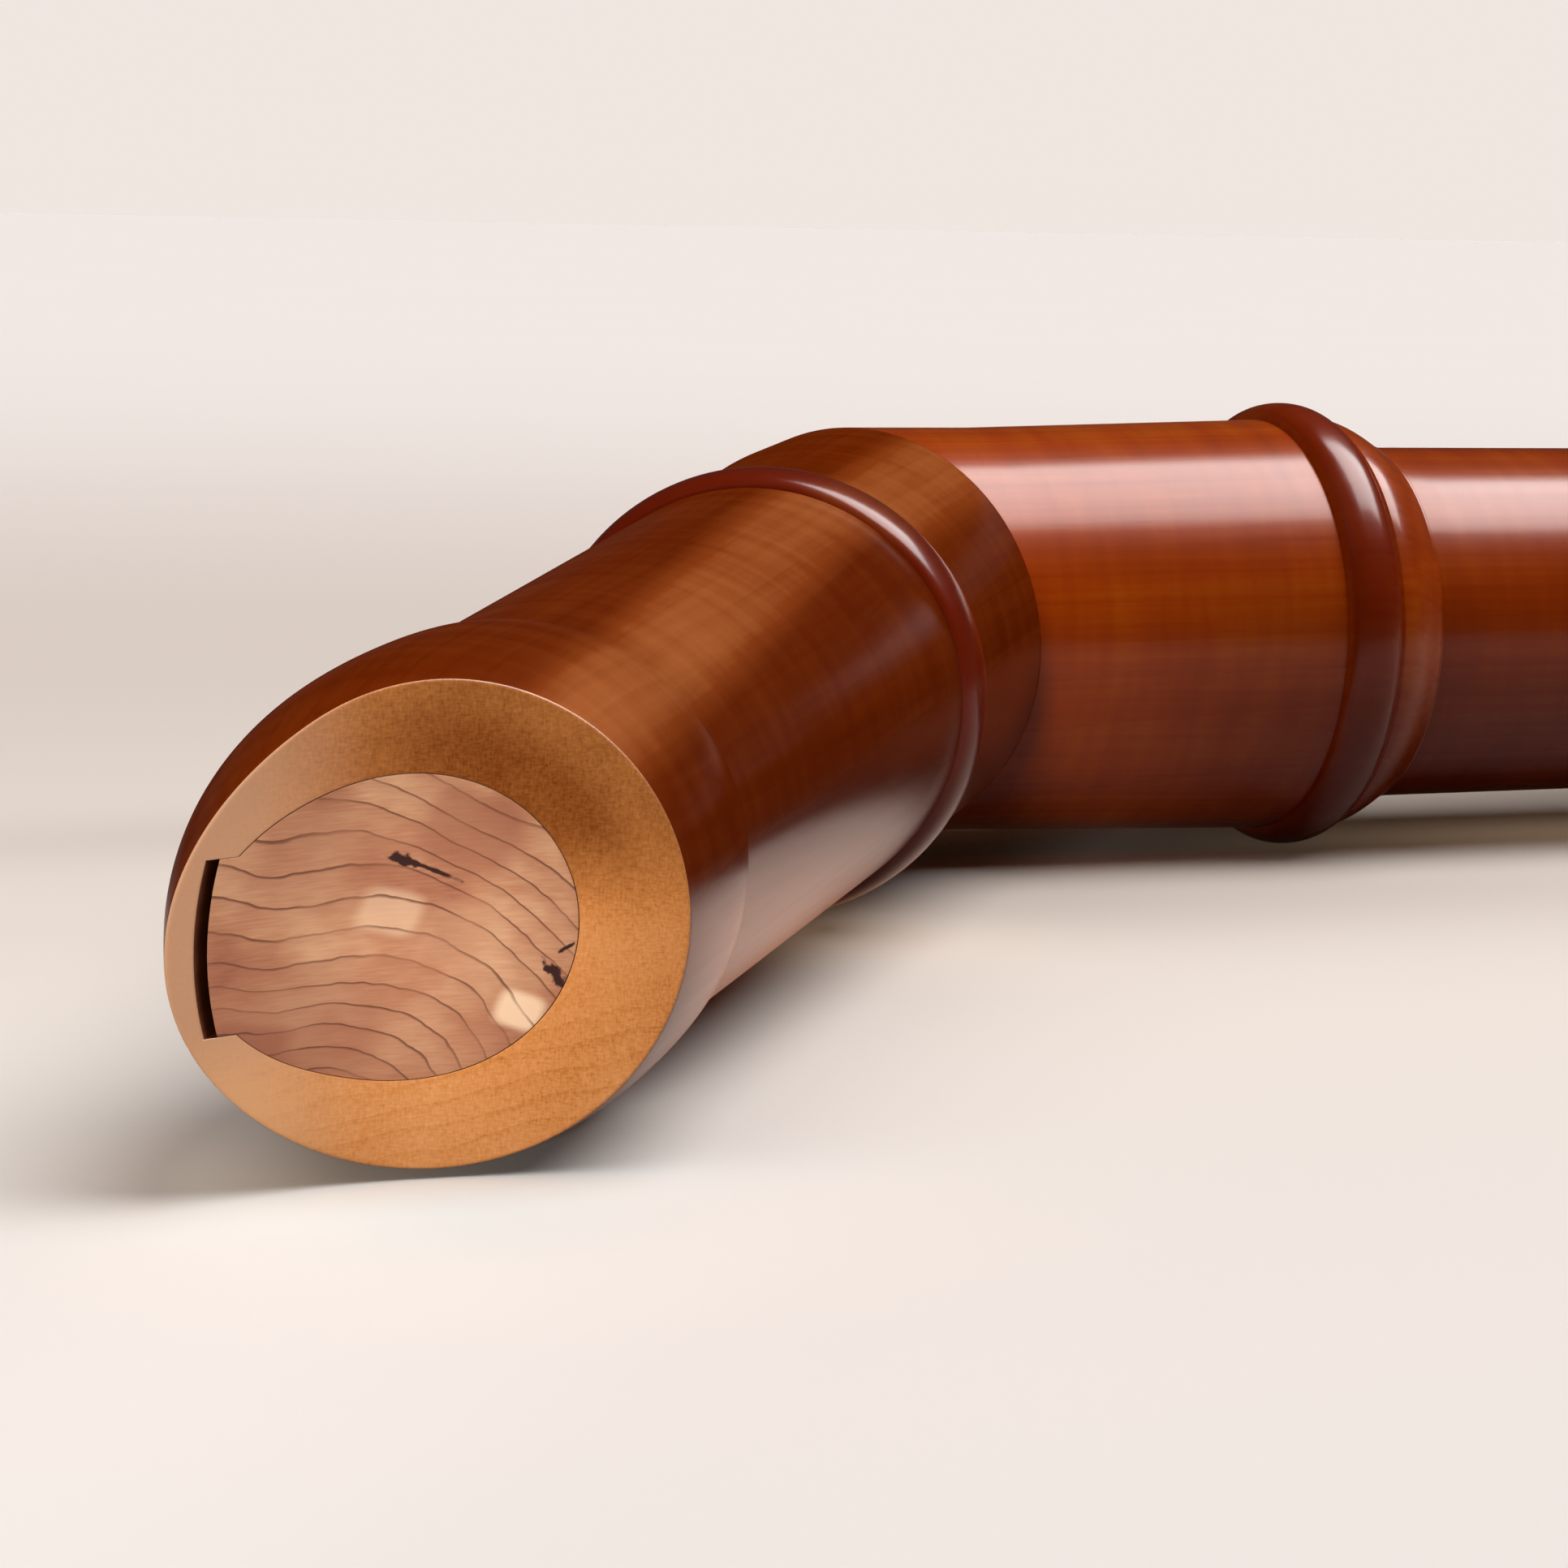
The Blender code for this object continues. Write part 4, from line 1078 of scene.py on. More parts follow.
@dataclass(frozen=True)
class Cedar:
    """Pinkish cedar of the block, with dark growth lines, patches, knots and two painted highlights where
    lamps would glint on its polish.

    A patch is given by its strength, its middle and half its width. A knot is given by its middle, half its
    length and width, how far its line falls in degrees, and how frayed its edge is.
    """

    line: Colour = (0.130, 0.045, 0.026)
    plain: Colour = (0.498, 0.232, 0.124)
    pale: Colour = (0.650, 0.372, 0.212)
    mauve: Colour = (0.335, 0.120, 0.069)
    # Colour of the painted highlights
    painted_glint: Colour = (0.860, 0.600, 0.390)
    knot_colour: Colour = (0.038, 0.013, 0.011)
    heart: Point = (-0.0075, -0.0215)
    roughness: float = 0.36
    mauve_patches: tuple[Patch, ...] = (
        (1.35, (0.0052, 0.0092), 0.0052),
        (1.00, (-0.0115, -0.0098), 0.0034),
        (0.75, (-0.0080, -0.0085), 0.0080),
        (0.50, (-0.0062, 0.0068), 0.0060),
    )
    pale_patches: tuple[Patch, ...] = ((0.35, (0.0045, -0.0010), 0.0045),)
    # Painted highlights: two pale patches where lamps glint on the polished block
    painted_glint_patches: tuple[Patch, ...] = ((0.46, (-0.0014, 0.0016), 0.0030), (0.95, (0.0096, -0.0083), 0.0025))
    patch_fade: Point = (0.58, 1.06)
    knots: tuple[Knot, ...] = (
        ((-0.0004, 0.0065), (0.0015, 0.0006), 23.0, 1.0),
        ((0.0018, 0.0055), (0.0029, 0.00024), 26.0, 0.5),
        ((0.0128, -0.0049), (0.0019, 0.0006), 50.0, 1.0),
        ((0.0136, -0.0022), (0.0008, 0.0002), -32.0, 1.0),
    )
    knot_fade: Point = (0.60, 1.15)

    def material(self, name: str, place: Matrix) -> Material:
        """Make the wood of the block.

        Args:
            name: Name of the material.
            place: Frame with X along the grain.

        Returns:
            The material.
        """
        recipe = Recipe(name)
        wood = recipe.local(place)
        _, y, z = recipe.split(wood)
        wander = recipe.noise(wood, (12.0, 62.0, 62.0), 1.0)
        ripple = recipe.noise(wood, (60.0, 330.0, 330.0))
        round_heart = ((y - self.heart[0]) ** 2.0 + (z - self.heart[1]) ** 2.0) ** 0.5
        bent = round_heart + (wander - 0.5) * 0.0045 + (ripple - 0.5) * 0.0010
        bent = bent - recipe.limit(y, -0.0090, -0.0145) * 0.0022 + recipe.limit(y + z, 0.004, 0.020) * 0.0055
        years = recipe.math("LOGARITHM", bent * 62.5 + 2.29, math.e) * 21.4
        season = recipe.math("FRACT", years)
        edge = recipe.limit(season, 0.87, 0.960) * (1.0 - recipe.limit(season, 0.980, 1.0))
        shade = recipe.limit(season, 0.25, 0.98)
        cloud = recipe.noise(wood, (30.0, 95.0, 95.0), 3.0)
        rays = recipe.noise(wood, (200.0, 420.0, 4400.0))
        strong = recipe.limit(recipe.noise(wood, (40.0, 150.0, 150.0), 1.0), 0.35, 0.62)
        mood = cloud + (rays - 0.5) * 0.24
        body = recipe.ramp(mood, ((0.30, self.mauve), (0.49, self.plain), (0.68, self.pale)))
        body = recipe.mix(shade * 0.26, body, self.mauve)
        tinted = self.patched(recipe, y, z, self.mauve_patches) * 0.42
        body = recipe.mix(tinted + recipe.limit(z, 0.001, -0.010) * 0.18, body, self.mauve)
        body = recipe.mix(self.patched(recipe, y, z, self.pale_patches), body, self.pale)
        # Painted highlights where lamps glint on the block
        body = recipe.mix(self.patched(recipe, y, z, self.painted_glint_patches), body, self.painted_glint)
        lined = recipe.mix(edge * (0.36 + strong * 0.50), body, self.line)
        frayed = (recipe.noise(wood, (300.0, 1300.0, 1300.0), 3.0) - 0.5) * 2.4
        dark = sum(self.knotted(recipe, y, z, knot, frayed) for knot in self.knots)
        colour = recipe.mix(dark, lined, self.knot_colour)
        gloss = self.roughness + (rays - 0.5) * 0.12 + edge * 0.08
        relief = recipe.bump(rays - edge * 0.5, 0.06, 0.0003)
        return recipe.finish(Base_Color=colour, Roughness=gloss, Normal=relief, Specular_IOR_Level=0.35)

    @staticmethod
    def slanted(y: Tone, z: Tone, middle: Point, level: float, fall: float) -> tuple[Tone, Tone]:
        """Places along and across a line that falls through a middle."""
        y, z = y - middle[0], z - middle[1]
        return y * level - z * fall, y * fall + z * level

    def patched(self, recipe: Recipe, y: Tone, z: Tone, patches: Sequence[Patch]) -> Tone:
        """Mask of squarish patches.

        Args:
            recipe: Material it goes into.
            y: Place across the grain.
            z: Other place across the grain.
            patches: Strength, middle and half width of each.

        Returns:
            The mask.
        """
        masks = []
        for strength, middle, size in patches:
            along, across = self.slanted(y, z, middle, 0.94, 0.34)
            reach = (along ** 4.0 + (across * 1.2) ** 4.0) ** 0.25
            low, high = self.patch_fade
            masks.append((1.0 - recipe.limit(reach, low * size, high * size)) * strength)
        return sum(masks)

    def knotted(self, recipe: Recipe, y: Tone, z: Tone, knot: Knot, frayed: Tone) -> Tone:
        """Mask of a small dark knot, long along a slanted line.

        Args:
            recipe: Material it goes into.
            y: Place across the grain.
            z: Other place across the grain.
            knot: Middle, size, slant and share of the fraying.
            frayed: Noise about 0 that frays its edge.

        Returns:
            The mask.
        """
        middle, size, slant_deg, share = knot
        along, across = self.slanted(y, z, middle, *polar(1.0, math.radians(slant_deg)))
        reach = ((along / size[0]) ** 2.0 + (across / size[1]) ** 2.0) ** 0.5
        return 1.0 - recipe.limit(reach + frayed * share, *self.knot_fade)


@dataclass(frozen=True)
class Metal:
    """Worked metal with fine polishing lines."""

    colour: Colour
    tarnish: Colour
    roughness: float

    def material(self, name: str) -> Material:
        """Make the metal.

        Args:
            name: Name of the material.

        Returns:
            The material.
        """
        recipe = Recipe(name)
        place = recipe.local(Matrix.Identity(4))
        lines = recipe.noise(place, (220.0, 2600.0, 2600.0))
        cloud = recipe.noise(place, (120.0, 120.0, 120.0), 3.0)
        colour = recipe.mix(recipe.limit(cloud, 0.52, 0.75), self.colour, self.tarnish)
        gloss = self.roughness + (lines - 0.5) * 0.16 + (cloud - 0.5) * 0.14
        return recipe.finish(
            Base_Color=colour, Metallic=1.0, Roughness=gloss, Normal=recipe.bump(lines, 0.03, 0.0002)
        )


@dataclass(frozen=True)
class Speckled:
    """A plain material with specks: cork, pad leather or bone."""

    dark: Colour
    plain: Colour
    pale: Colour
    grain: float
    relief: float
    roughness: float

    def material(self, name: str) -> Material:
        """Make the material.

        Args:
            name: Its name.

        Returns:
            The material.
        """
        recipe = Recipe(name)
        place = recipe.local(Matrix.Identity(4))
        grain = recipe.noise(place, (self.grain,) * 3, 3.0)
        fine = recipe.noise(place, (4 * self.grain,) * 3)
        tone = grain * 0.7 + fine * 0.3
        colour = recipe.ramp(tone, ((0.34, self.dark), (0.50, self.plain), (0.68, self.pale)))
        gloss = self.roughness + (fine - 0.5) * 0.2
        relief = recipe.bump(tone, self.relief, 0.0005)
        return recipe.finish(Base_Color=colour, Roughness=gloss, Normal=relief)


PEAR = StainedPear()
DEEP_PEAR = replace(PEAR, plain=(0.325, 0.0410, 0.0008), warm=(0.465, 0.0980, 0.0040))
# The neck and the upper knee carry the painted sheen and shade
ORANGE_PEAR = replace(
    PEAR, deep=(0.128, 0.0150, 0.0004), plain=(0.245, 0.0470, 0.0070), warm=(0.470, 0.1450, 0.0400),
    painted_sheen_side_deg=71.0, satin=0.80, figure=0.6,
)
KNEE_PEAR = replace(ORANGE_PEAR, painted_sheen_side_deg=62.0, satin=0.95)
BRASS = Metal((0.78, 0.56, 0.26), (0.60, 0.40, 0.17), 0.24)
BLUED_STEEL = Metal((0.42, 0.43, 0.46), (0.26, 0.27, 0.31), 0.26)
CORK = Speckled((0.20, 0.095, 0.040), (0.47, 0.27, 0.13), (0.62, 0.40, 0.22), 900.0, 0.30, 0.80)
LEATHER = Speckled((0.44, 0.33, 0.23), (0.58, 0.46, 0.34), (0.68, 0.57, 0.44), 1400.0, 0.25, 0.75)
BONE = Speckled((0.66, 0.58, 0.43), (0.78, 0.71, 0.57), (0.86, 0.80, 0.68), 500.0, 0.04, 0.34)


# Head, block and knee


@dataclass(frozen=True)
class Beak:
    """The slanted, hollow cut of the mouth, shared by the head and its block."""

    layout: Layout
    tip_radius: float = 0.0169
    lip_slope: float = 1.35
    lip_height: float = 0.0099
    heel_drop: float = 0.0320
    heel_slope: float = 0.28
    collar_radius: float = 0.0252
    roof: float = 0.0150
    windway_width: float = 0.0166
    windway_height: float = 0.0009
    arch_radius: float = 0.0460
    edge_step: float = 0.001
    clear_deg: float = 0.6

    @cached_property
    def curve(self) -> np.ndarray:
        """Points (along the axis, towards the front) of the hollow part of the cut.

        Returns:
            The points, from the lip to the heel.
        """
        tip = self.layout.beak_tip
        knee = (tip - self.lip_slope * self.lip_height, self.tip_radius - self.lip_height)
        heel = (tip - self.heel_drop, -self.collar_radius - self.layout.lip_wall)
        bow = self.tip_radius / 2
        reach = 0.7 * self.collar_radius / 1.5
        pull_knee = (knee[0] - self.lip_slope * bow, knee[1] - bow)
        pull_heel = (heel[0] + self.heel_slope * reach, heel[1] + reach)
        return np.array(bezier(knee, pull_knee, pull_heel, heel, 240))

    def cut(self, front: np.ndarray) -> np.ndarray:
        """Place of the cut along the axis at a distance towards the front.

        Args:
            front: Distances towards the front.

        Returns:
            Places along the axis.
        """
        straight = self.layout.beak_tip - self.lip_slope * (self.tip_radius - front)
        hollow = np.interp(front, self.curve[::-1, 1], self.curve[::-1, 0])
        return np.where(front >= self.curve[0, 1], straight, hollow)

    def channel(self, turns: np.ndarray, crown: float, half: float, bore: float) -> np.ndarray:
        """Radius of a bore with an arched channel on its front.

        Args:
            turns: Angles from the front.
            crown: Height of the arch over the axis.
            half: Half the channel's width.
            bore: Radius of the bore.

        Returns:
            The radius at each angle.
        """
        cosine = np.cos(turns)
        sine = np.maximum(np.abs(np.sin(turns)), 1e-6)
        bow = sine * sine / (2 * self.arch_radius)
        arch = (np.sqrt(cosine * cosine + 4 * bow * crown) - cosine) / (2 * bow)
        beside = np.maximum(half / sine, bore)
        return np.where(cosine <= 0.0, bore, np.where(arch * sine <= half, arch, beside))

    def columns(self, crown: float, half: float, bore: float, count: int) -> np.ndarray:
        """Angles for the columns of a mesh, with one on each edge of the channel.

        Args:
            crown: Height of the arch over the axis.
            half: Half the channel's width.
            bore: Radius of the bore.
            count: How many even columns to start from.

        Returns:
            The angles in order.
        """
        shoulder = math.atan2(half, crown - half * half / (2 * self.arch_radius))
        edges = [shoulder - self.edge_step, shoulder, math.asin(half / bore)]
        fixed = np.array([-edge for edge in edges] + edges)
        even = around(count, -math.pi)
        clear = np.abs(even[:, None] - fixed[None, :]).min(1) > math.radians(self.clear_deg)
        return np.sort(np.concatenate([even[clear], fixed]))


@dataclass
class HeadJoint:
    """Neck, collar and beak, turned from one piece, with windway, window and labium."""

    layout: Layout
    beak: Beak
    setting: Setting
    outer: Material
    cut: Material
    bore: Material
    collar_rise: float = 0.0015
    collar_peak: float = 0.0160
    spare: float = 0.0018
    spare_drop: float = 0.0007
    window_below_collar: float = 0.0110
    cut_up: float = 0.0105
    ramp_length: float = 0.0340
    labium_edge: float = 0.0006
    edge_soft: float = 0.00035
    chamfer: float = 0.0002
    count: int = 200

    @property
    def block_line(self) -> float:
        """Upper edge of the window, where the block ends."""
        return self.layout.collar_start - self.window_below_collar

    @cached_property
    def collar(self) -> np.ndarray:
        """Outside of the collar and beak as (place, radius) points.

        Returns:
            The points, from the neck to past the tip.
        """
        lay = self.layout
        top = self.beak.collar_radius
        crease = (lay.collar_start, lay.neck_high)
        peak = (lay.collar_start + self.collar_peak, top)
        end = (lay.beak_tip + self.spare, self.beak.tip_radius - self.spare_drop)
        span = end[0] - peak[0]
        back = 0.39 * span
        pull_crease = (lay.collar_start + 0.1 * self.collar_peak, top - 0.2 * self.collar_rise)
        rise = bezier(crease, pull_crease, (lay.collar_start + 0.5 * self.collar_peak, top), peak, 80)
        fall = bezier(peak, (peak[0] + 0.48 * span, top), (end[0] - back, end[1] + 0.37 * back), end, 200)
        return np.array(rise + fall[1:])

    def outside(self, place: np.ndarray) -> np.ndarray:
        """Radius of the collar and beak at a place on the axis."""
        return np.interp(place, self.collar[:, 0], self.collar[:, 1])

    def beak_edge(self, turns: np.ndarray) -> np.ndarray:
        """Place along the axis where the outside meets the cut.

        Args:
            turns: Angles of the columns.

        Returns:
            The place for each column.
        """
        low = np.full(turns.shape, self.layout.collar_start)
        high = np.full(turns.shape, self.layout.beak_tip + self.spare)
        for _ in range(50):
            middle = (low + high) / 2
            past = middle > self.beak.cut(self.outside(middle) * np.cos(turns))
            high = np.where(past, middle, high)
            low = np.where(past, low, middle)
        return (low + high) / 2

    def mesh(self) -> Mesh:
        """Skin the head before its window is cut.

        Returns:
            The mesh.
        """
        lay, beak, soft = self.layout, self.beak, self.edge_soft
        half = beak.windway_width / 2
        turns = beak.columns(beak.roof, half, lay.bore_radius, self.count)
        cosine = np.cos(turns)
        inner = beak.channel(turns, beak.roof, half, lay.bore_radius)
        tenon_end = lay.upper_knee - lay.neck_tenon_length
        shoulder = lay.upper_knee + lay.seam
        slim = lay.neck_tenon_radius
        outside = [(tenon_end, slim), (shoulder, slim), (shoulder, lay.neck_low - self.chamfer)]
        for share in np.linspace(0.0, 1.0, 40):
            place = shoulder + self.chamfer + share * (lay.collar_start - shoulder - self.chamfer)
            outside.append((place, lay.neck_low + share * (lay.neck_high - lay.neck_low)))
        edge = self.beak_edge(turns)
        for share in np.linspace(0.0, 1.0, 61)[1:] ** 1.3:
            place = lay.collar_start + share * (edge - soft - lay.collar_start)
            outside.append((place, self.outside(place)))
        rim = self.outside(edge)
        first = np.stack([edge - soft, self.outside(edge - soft)])
        last = np.stack([beak.cut((rim - soft) * cosine), rim - soft])
        face = [tuple(place) for place in rounded(first, np.stack([edge, rim]), last, 4)]
        face.append(tuple(last))
        small = 0.4 * soft
        for share in np.linspace(0.0, 1.0, 22)[1:]:
            radius = rim - soft + share * (inner + small - rim + soft)
            face.append((beak.cut(radius * cosine), radius))
        mouth = beak.cut(inner * cosine)
        first, last = np.stack(face[-1]), np.stack([mouth - small, inner])
        face += [tuple(place) for place in rounded(first, np.stack([mouth, inner]), last, 2)]
        inside = [tuple(last)]
        way_end = self.block_line - self.cut_up / 2
        for share in np.linspace(0.0, 1.0, 14)[1:]:
            inside.append((mouth - small + share * (way_end - mouth + small), inner))
        for place in np.linspace(way_end - self.chamfer, tenon_end, 14):
            inside.append((place, lay.bore_radius))
        strips = [0] * len(outside) + [1] * len(face) + [2] * len(inside)
        rows = rows_about_axis(turns, outside + face + inside, -1.0)
        return mesh_from_rows("neck_and_beak", rows, True, strips)

    def build(self) -> None:
        """Make the head, cut its window and labium and hand it over."""
        lay = self.layout
        head = wear(new_object("neck_and_beak", self.mesh()), self.outer, self.cut, self.bore)
        half = self.beak.windway_width / 2
        start = self.block_line
        labium = start - self.cut_up
        high = self.beak.collar_radius + self.beak.lip_height
        low = lay.bore_radius / 2
        edge = self.beak.roof + self.labium_edge
        top = lay.neck_high + lay.lip_wall
        end = labium - self.ramp_length * (top - edge) / (lay.neck_high - edge)
        middle = labium + self.cut_up / 2
        window = [(labium, -low), (start, -low), (start, -high), (labium, -high)]
        ramp = [(middle, -edge), (middle, -high), (end, -high), (end, -top), (labium, -edge)]
        for name, outline in (("window", window), ("ramp", ramp)):
            combine(head, prism(name, outline, Along.Z, -half, half), Shaping.CUT)
        settle(head, self.setting.head)
        hand_over(head, Body.HEAD, Slot.PEAR, "head_joint")


@dataclass
class CedarBlock:
    """Block that fills the beak and leaves the windway open over its raised floor."""

    head: HeadJoint
    finish: Material
    clearance: float = 0.00006
    side_clearance: float = 0.00004
    soft: float = 0.00006
    count: int = 160

    def build(self) -> None:
        """Make the block and hand it over."""
        beak = self.head.beak
        bore = self.head.layout.bore_radius - self.clearance
        half = beak.windway_width / 2 - self.side_clearance
        crown = beak.roof - beak.windway_height
        turns = beak.columns(crown, half, bore, self.count)
        cosine = np.cos(turns)
        radius = beak.channel(turns, crown, half, bore)
        start, soft = self.head.block_line, self.soft
        stations = [(start, share * (radius - soft)) for share in np.linspace(0.0, 1.0, 8)]
        mouth = beak.cut(radius * cosine)
        for share in np.linspace(0.0, 1.0, 26):
            stations.append((start + soft + share * (mouth - start - 2 * soft), radius))
        first = np.stack([mouth - soft, radius])
        last = np.stack([beak.cut((radius - soft) * cosine), radius - soft])
        stations += [tuple(place) for place in rounded(first, np.stack([mouth, radius]), last, 2)]
        for share in np.linspace(1.0, 0.0, 26):
            inside = share * (radius - soft)
            stations.append((beak.cut(inside * cosine), inside))
        mesh = mesh_from_rows("windway_block", rows_about_axis(turns, stations, -1.0), False)
        block = new_object("windway_block", mesh)
        deliver(block, self.finish, self.head.setting.head, Body.BLOCK, Slot.CEDAR, "block")


@dataclass
class Knee:
    """The two mitred pieces that bend the instrument, each with its ring."""

    layout: Layout
    setting: Setting
    upper_finish: Material
    lower_finish: Material
    head_bore: Material
    body_bore: Material
    bead_width: float = 0.0104
    bead_height: float = 0.0020
    bead_base_share: float = 0.85
    soft: float = 0.00006
    end_soft: float = 0.0004
    pitch: float = 0.0035
    count: int = 176

    def mesh(self, name: str, outside: Sequence[Point], inside: Sequence[Point], front: float) -> Mesh:
        """Skin a piece whose first end is the mitre.

        Args:
            name: Name of the mesh.
            outside: (place, radius) points after the straight part by the mitre.
            inside: Points of the bore, back from the far end.
            front: Sign of the Y side that is the front.

        Returns:
            The mesh, with the bore as its second material.
        """
        lay, soft = self.layout, self.soft
        turns = around(self.count, -math.pi)
        cosine = np.cos(turns)

        def mitre(radius: float) -> np.ndarray:
            """Place of the mitre at a radius, for each column."""
            return lay.seam - radius * cosine * lay.mitre_slope

        face = [(mitre(r), r) for r in np.linspace(lay.bore_radius, lay.knee_radius - soft, 5)]
        shell = []
        for share in np.linspace(0.0, 1.0, 16):
            start = mitre(lay.knee_radius) + soft
            shell.append((start + share * (lay.mitre_straight - start), lay.knee_radius))
        shell += list(outside)
        strips = [1] * (len(face) - 1) + [0] * len(shell) + [1] * (len(inside) + 1)
        rows = rows_about_axis(turns, face + shell + list(inside), front)
        return mesh_from_rows(name, rows, True, strips)

    def build_upper(self) -> None:
        """Make the piece that the neck is glued into."""
        lay = self.layout
        ring = lay.upper_knee - self.bead_width
        socket = lay.neck_tenon_radius + lay.seam
        socket_end = lay.upper_knee - lay.neck_tenon_length - lay.seam
        base = lay.knee_radius + (lay.neck_low - lay.knee_radius) * self.bead_base_share
        line = Outline((lay.mitre_straight, lay.knee_radius), (ring, base))
        outside = line.points(False, self.pitch)[1:]
        outside += bead(ring, lay.upper_knee, (base, lay.neck_low), self.bead_height)[1:]
        inside = [(lay.upper_knee, socket), (socket_end, socket), (socket_end, lay.bore_radius)]
        knee = new_object("upper_knee", self.mesh("upper_knee", outside, inside, -1.0))
        settle(wear(knee, self.upper_finish, self.head_bore), self.setting.head)
        hand_over(knee, Body.HEAD, Slot.PEAR, "knee_upper")

    def build_lower(self) -> None:
        """Make the piece with the socket of the middle joint."""
        lay, base, end, soft = self.layout, self.layout.ring_base, self.layout.knee_end, self.end_soft
        ring_end = lay.lower_knee + lay.ring_width
        lip_start = ring_end + lay.ring_groove
        socket = lay.top_tenon_radius + 2 * lay.fit_gap
        socket_end = lay.middle_start - lay.top_tenon_length - lay.fit_gap
        lip = socket + lay.lip_wall
        line = Outline((lay.mitre_straight, lay.knee_radius), (lay.lower_knee, base))
        outside = line.points(False, self.pitch)[1:]
        outside += bead(lay.lower_knee, ring_end, (base, base), lay.ring_height)[1:]
        outside += bezier(
            (lip_start, base + 0.15 * lay.ring_height),
            (lip_start + 0.35 * lay.lip_length, base + 0.1 * lay.ring_height),
            (lip_start + 0.70 * lay.lip_length, 0.65 * lip + 0.35 * base),
            (end - soft, lip),
            24,
        )
        outside += Outline((end - soft, lip), (end, lip, soft), (end, socket)).points(False)[1:-1]
        inside = [(end, socket), (socket_end, socket), (socket_end, lay.bore_radius)]
        knee = new_object("lower_knee", self.mesh("lower_knee", outside, inside, 1.0))
        settle(wear(knee, self.lower_finish, self.body_bore), self.setting.body)
        hand_over(knee, Body.HEAD, Slot.PEAR, "knee_lower")


# Middle joint and foot


@dataclass(frozen=True)
class Key:
    """Where one key lies along its joint."""

    name: str
    body: Body
    base: float
    cup: float
    touch: float
    skin: Skin
    needle_at_end: bool = False
    cup_margin: float = 0.0070
    touch_margin: float = 0.0088

    @property
    def start(self) -> float:
        """First end of its barrel."""
        return self.base + min(self.cup - self.cup_margin, self.touch - self.touch_margin)

    @property
    def end(self) -> float:
        """Last end of its barrel."""
        return self.base + max(self.cup + self.cup_margin, self.touch + self.touch_margin)


@dataclass(frozen=True)
class KeyPlan:
    """The four keys and the three axles that they turn on."""

    layout: Layout
    key_3_share: float = 0.5358
    key_6_share: float = 0.9111
    f_sharp_share: float = 0.2276
    low_f_share: float = 0.5280
    touch_distance: float = 0.0270
    f_sharp_touch: float = 0.0180
    barrel_gap: float = 0.0004
    pad_radius: float = 0.0074
    seat_margin: float = 0.0015
    seat_depth: float = 0.0014
    hole_radius: float = 0.0050
    axle_side_deg: float = 62.0
    axle_lift: float = 0.0044
    post_radius: float = 0.0026
    shank_length: float = 0.0050
    stem_radius: float = 0.0015

    @property
    def axle_side(self) -> float:
        """Angle of the axles from the front."""
        return math.radians(self.axle_side_deg)

    @cached_property
    def keys(self) -> tuple[Key, ...]:
        """The keys from the knee to the foot.

        Returns:
            Two keys of the middle joint and two of the foot.
        """
        lay = self.layout
        cup_3 = self.key_3_share * lay.middle_length
        cup_6 = self.key_6_share * lay.middle_length
        cup_f_sharp = self.f_sharp_share * lay.foot_length
        touch_f_sharp = cup_f_sharp + self.f_sharp_touch
        touch_low_f = touch_f_sharp + 2 * Key.touch_margin + self.barrel_gap
        cup_low_f = self.low_f_share * lay.foot_length
        skin, foot = lay.middle_radius, lay.foot_radius
        return (
            Key("key_hole_3", Body.KEY_HOLE_3, lay.middle_start, cup_3, cup_3 - self.touch_distance, skin),
            Key("key_hole_6", Body.KEY_HOLE_6, lay.middle_start, cup_6, cup_6 - self.touch_distance, skin),
            Key("key_f_sharp", Body.KEY_F_SHARP, lay.foot_start, cup_f_sharp, touch_f_sharp, foot),
            Key("key_low_f", Body.KEY_LOW_F, lay.foot_start, cup_low_f, touch_low_f, foot, True),
        )

    @cached_property
    def axles(self) -> dict[str, tuple[float, float, Skin]]:
        """First end, last end and skin under each axle's barrels.

        Returns:
            Those three for each axle's name.
        """
        third, sixth, sharp, low = self.keys
        return {
            "hole_3": (third.start, third.end, third.skin),
            "hole_6": (sixth.start, sixth.end, sixth.skin),
            "foot": (sharp.start, low.end, sharp.skin),
        }

    def posts(self, axle: str) -> tuple[float, float]:
        """Places of an axle's two posts.

        Args:
            axle: Name of the axle.

        Returns:
            Both places along the axis.
        """
        start, end, _ = self.axles[axle]
        reach = self.post_radius + self.layout.fit_gap
        return start - reach, end + reach

    def line(self, axle: str) -> float:
        """Distance of an axle from the middle axis."""
        start, _, skin = self.axles[axle]
        return skin(start) + self.axle_lift

    def tone_hole(self, key: Key) -> Object:
        """Cutter of a key's hole and flat seat.

        Args:
            key: Key that covers the hole.

        Returns:
            The cutter.
        """
        x = key.base + key.cup
        skin, hole, wide = key.skin(x), self.hole_radius, self.pad_radius + self.seat_margin
        seat, high = skin - self.seat_depth, 1.5 * skin
        line = Outline((0.0, 0.0), (0.0, hole), (seat, hole, 0.0004))
        line.add((seat, wide, 0.0003), (high, wide), (high, 0.0))
        return turned_at("tone_hole", line, Facets.TONE_HOLE, x, Side.FRONT.value)

    def post_hole(self, axle: str, x: float) -> Object:
        """Cutter of a post's blind hole.

        Args:
            axle: Axle that the post carries.
            x: Place of the post.

        Returns:
            The cutter.
        """
        skin = self.axles[axle][2](x)
        radius = self.stem_radius + self.layout.fit_gap / 2
        low = skin - self.shank_length - self.layout.fit_gap
        return turned_at("post_hole", rod(low, 1.2 * skin, radius), Facets.POST_HOLE, x, self.axle_side)


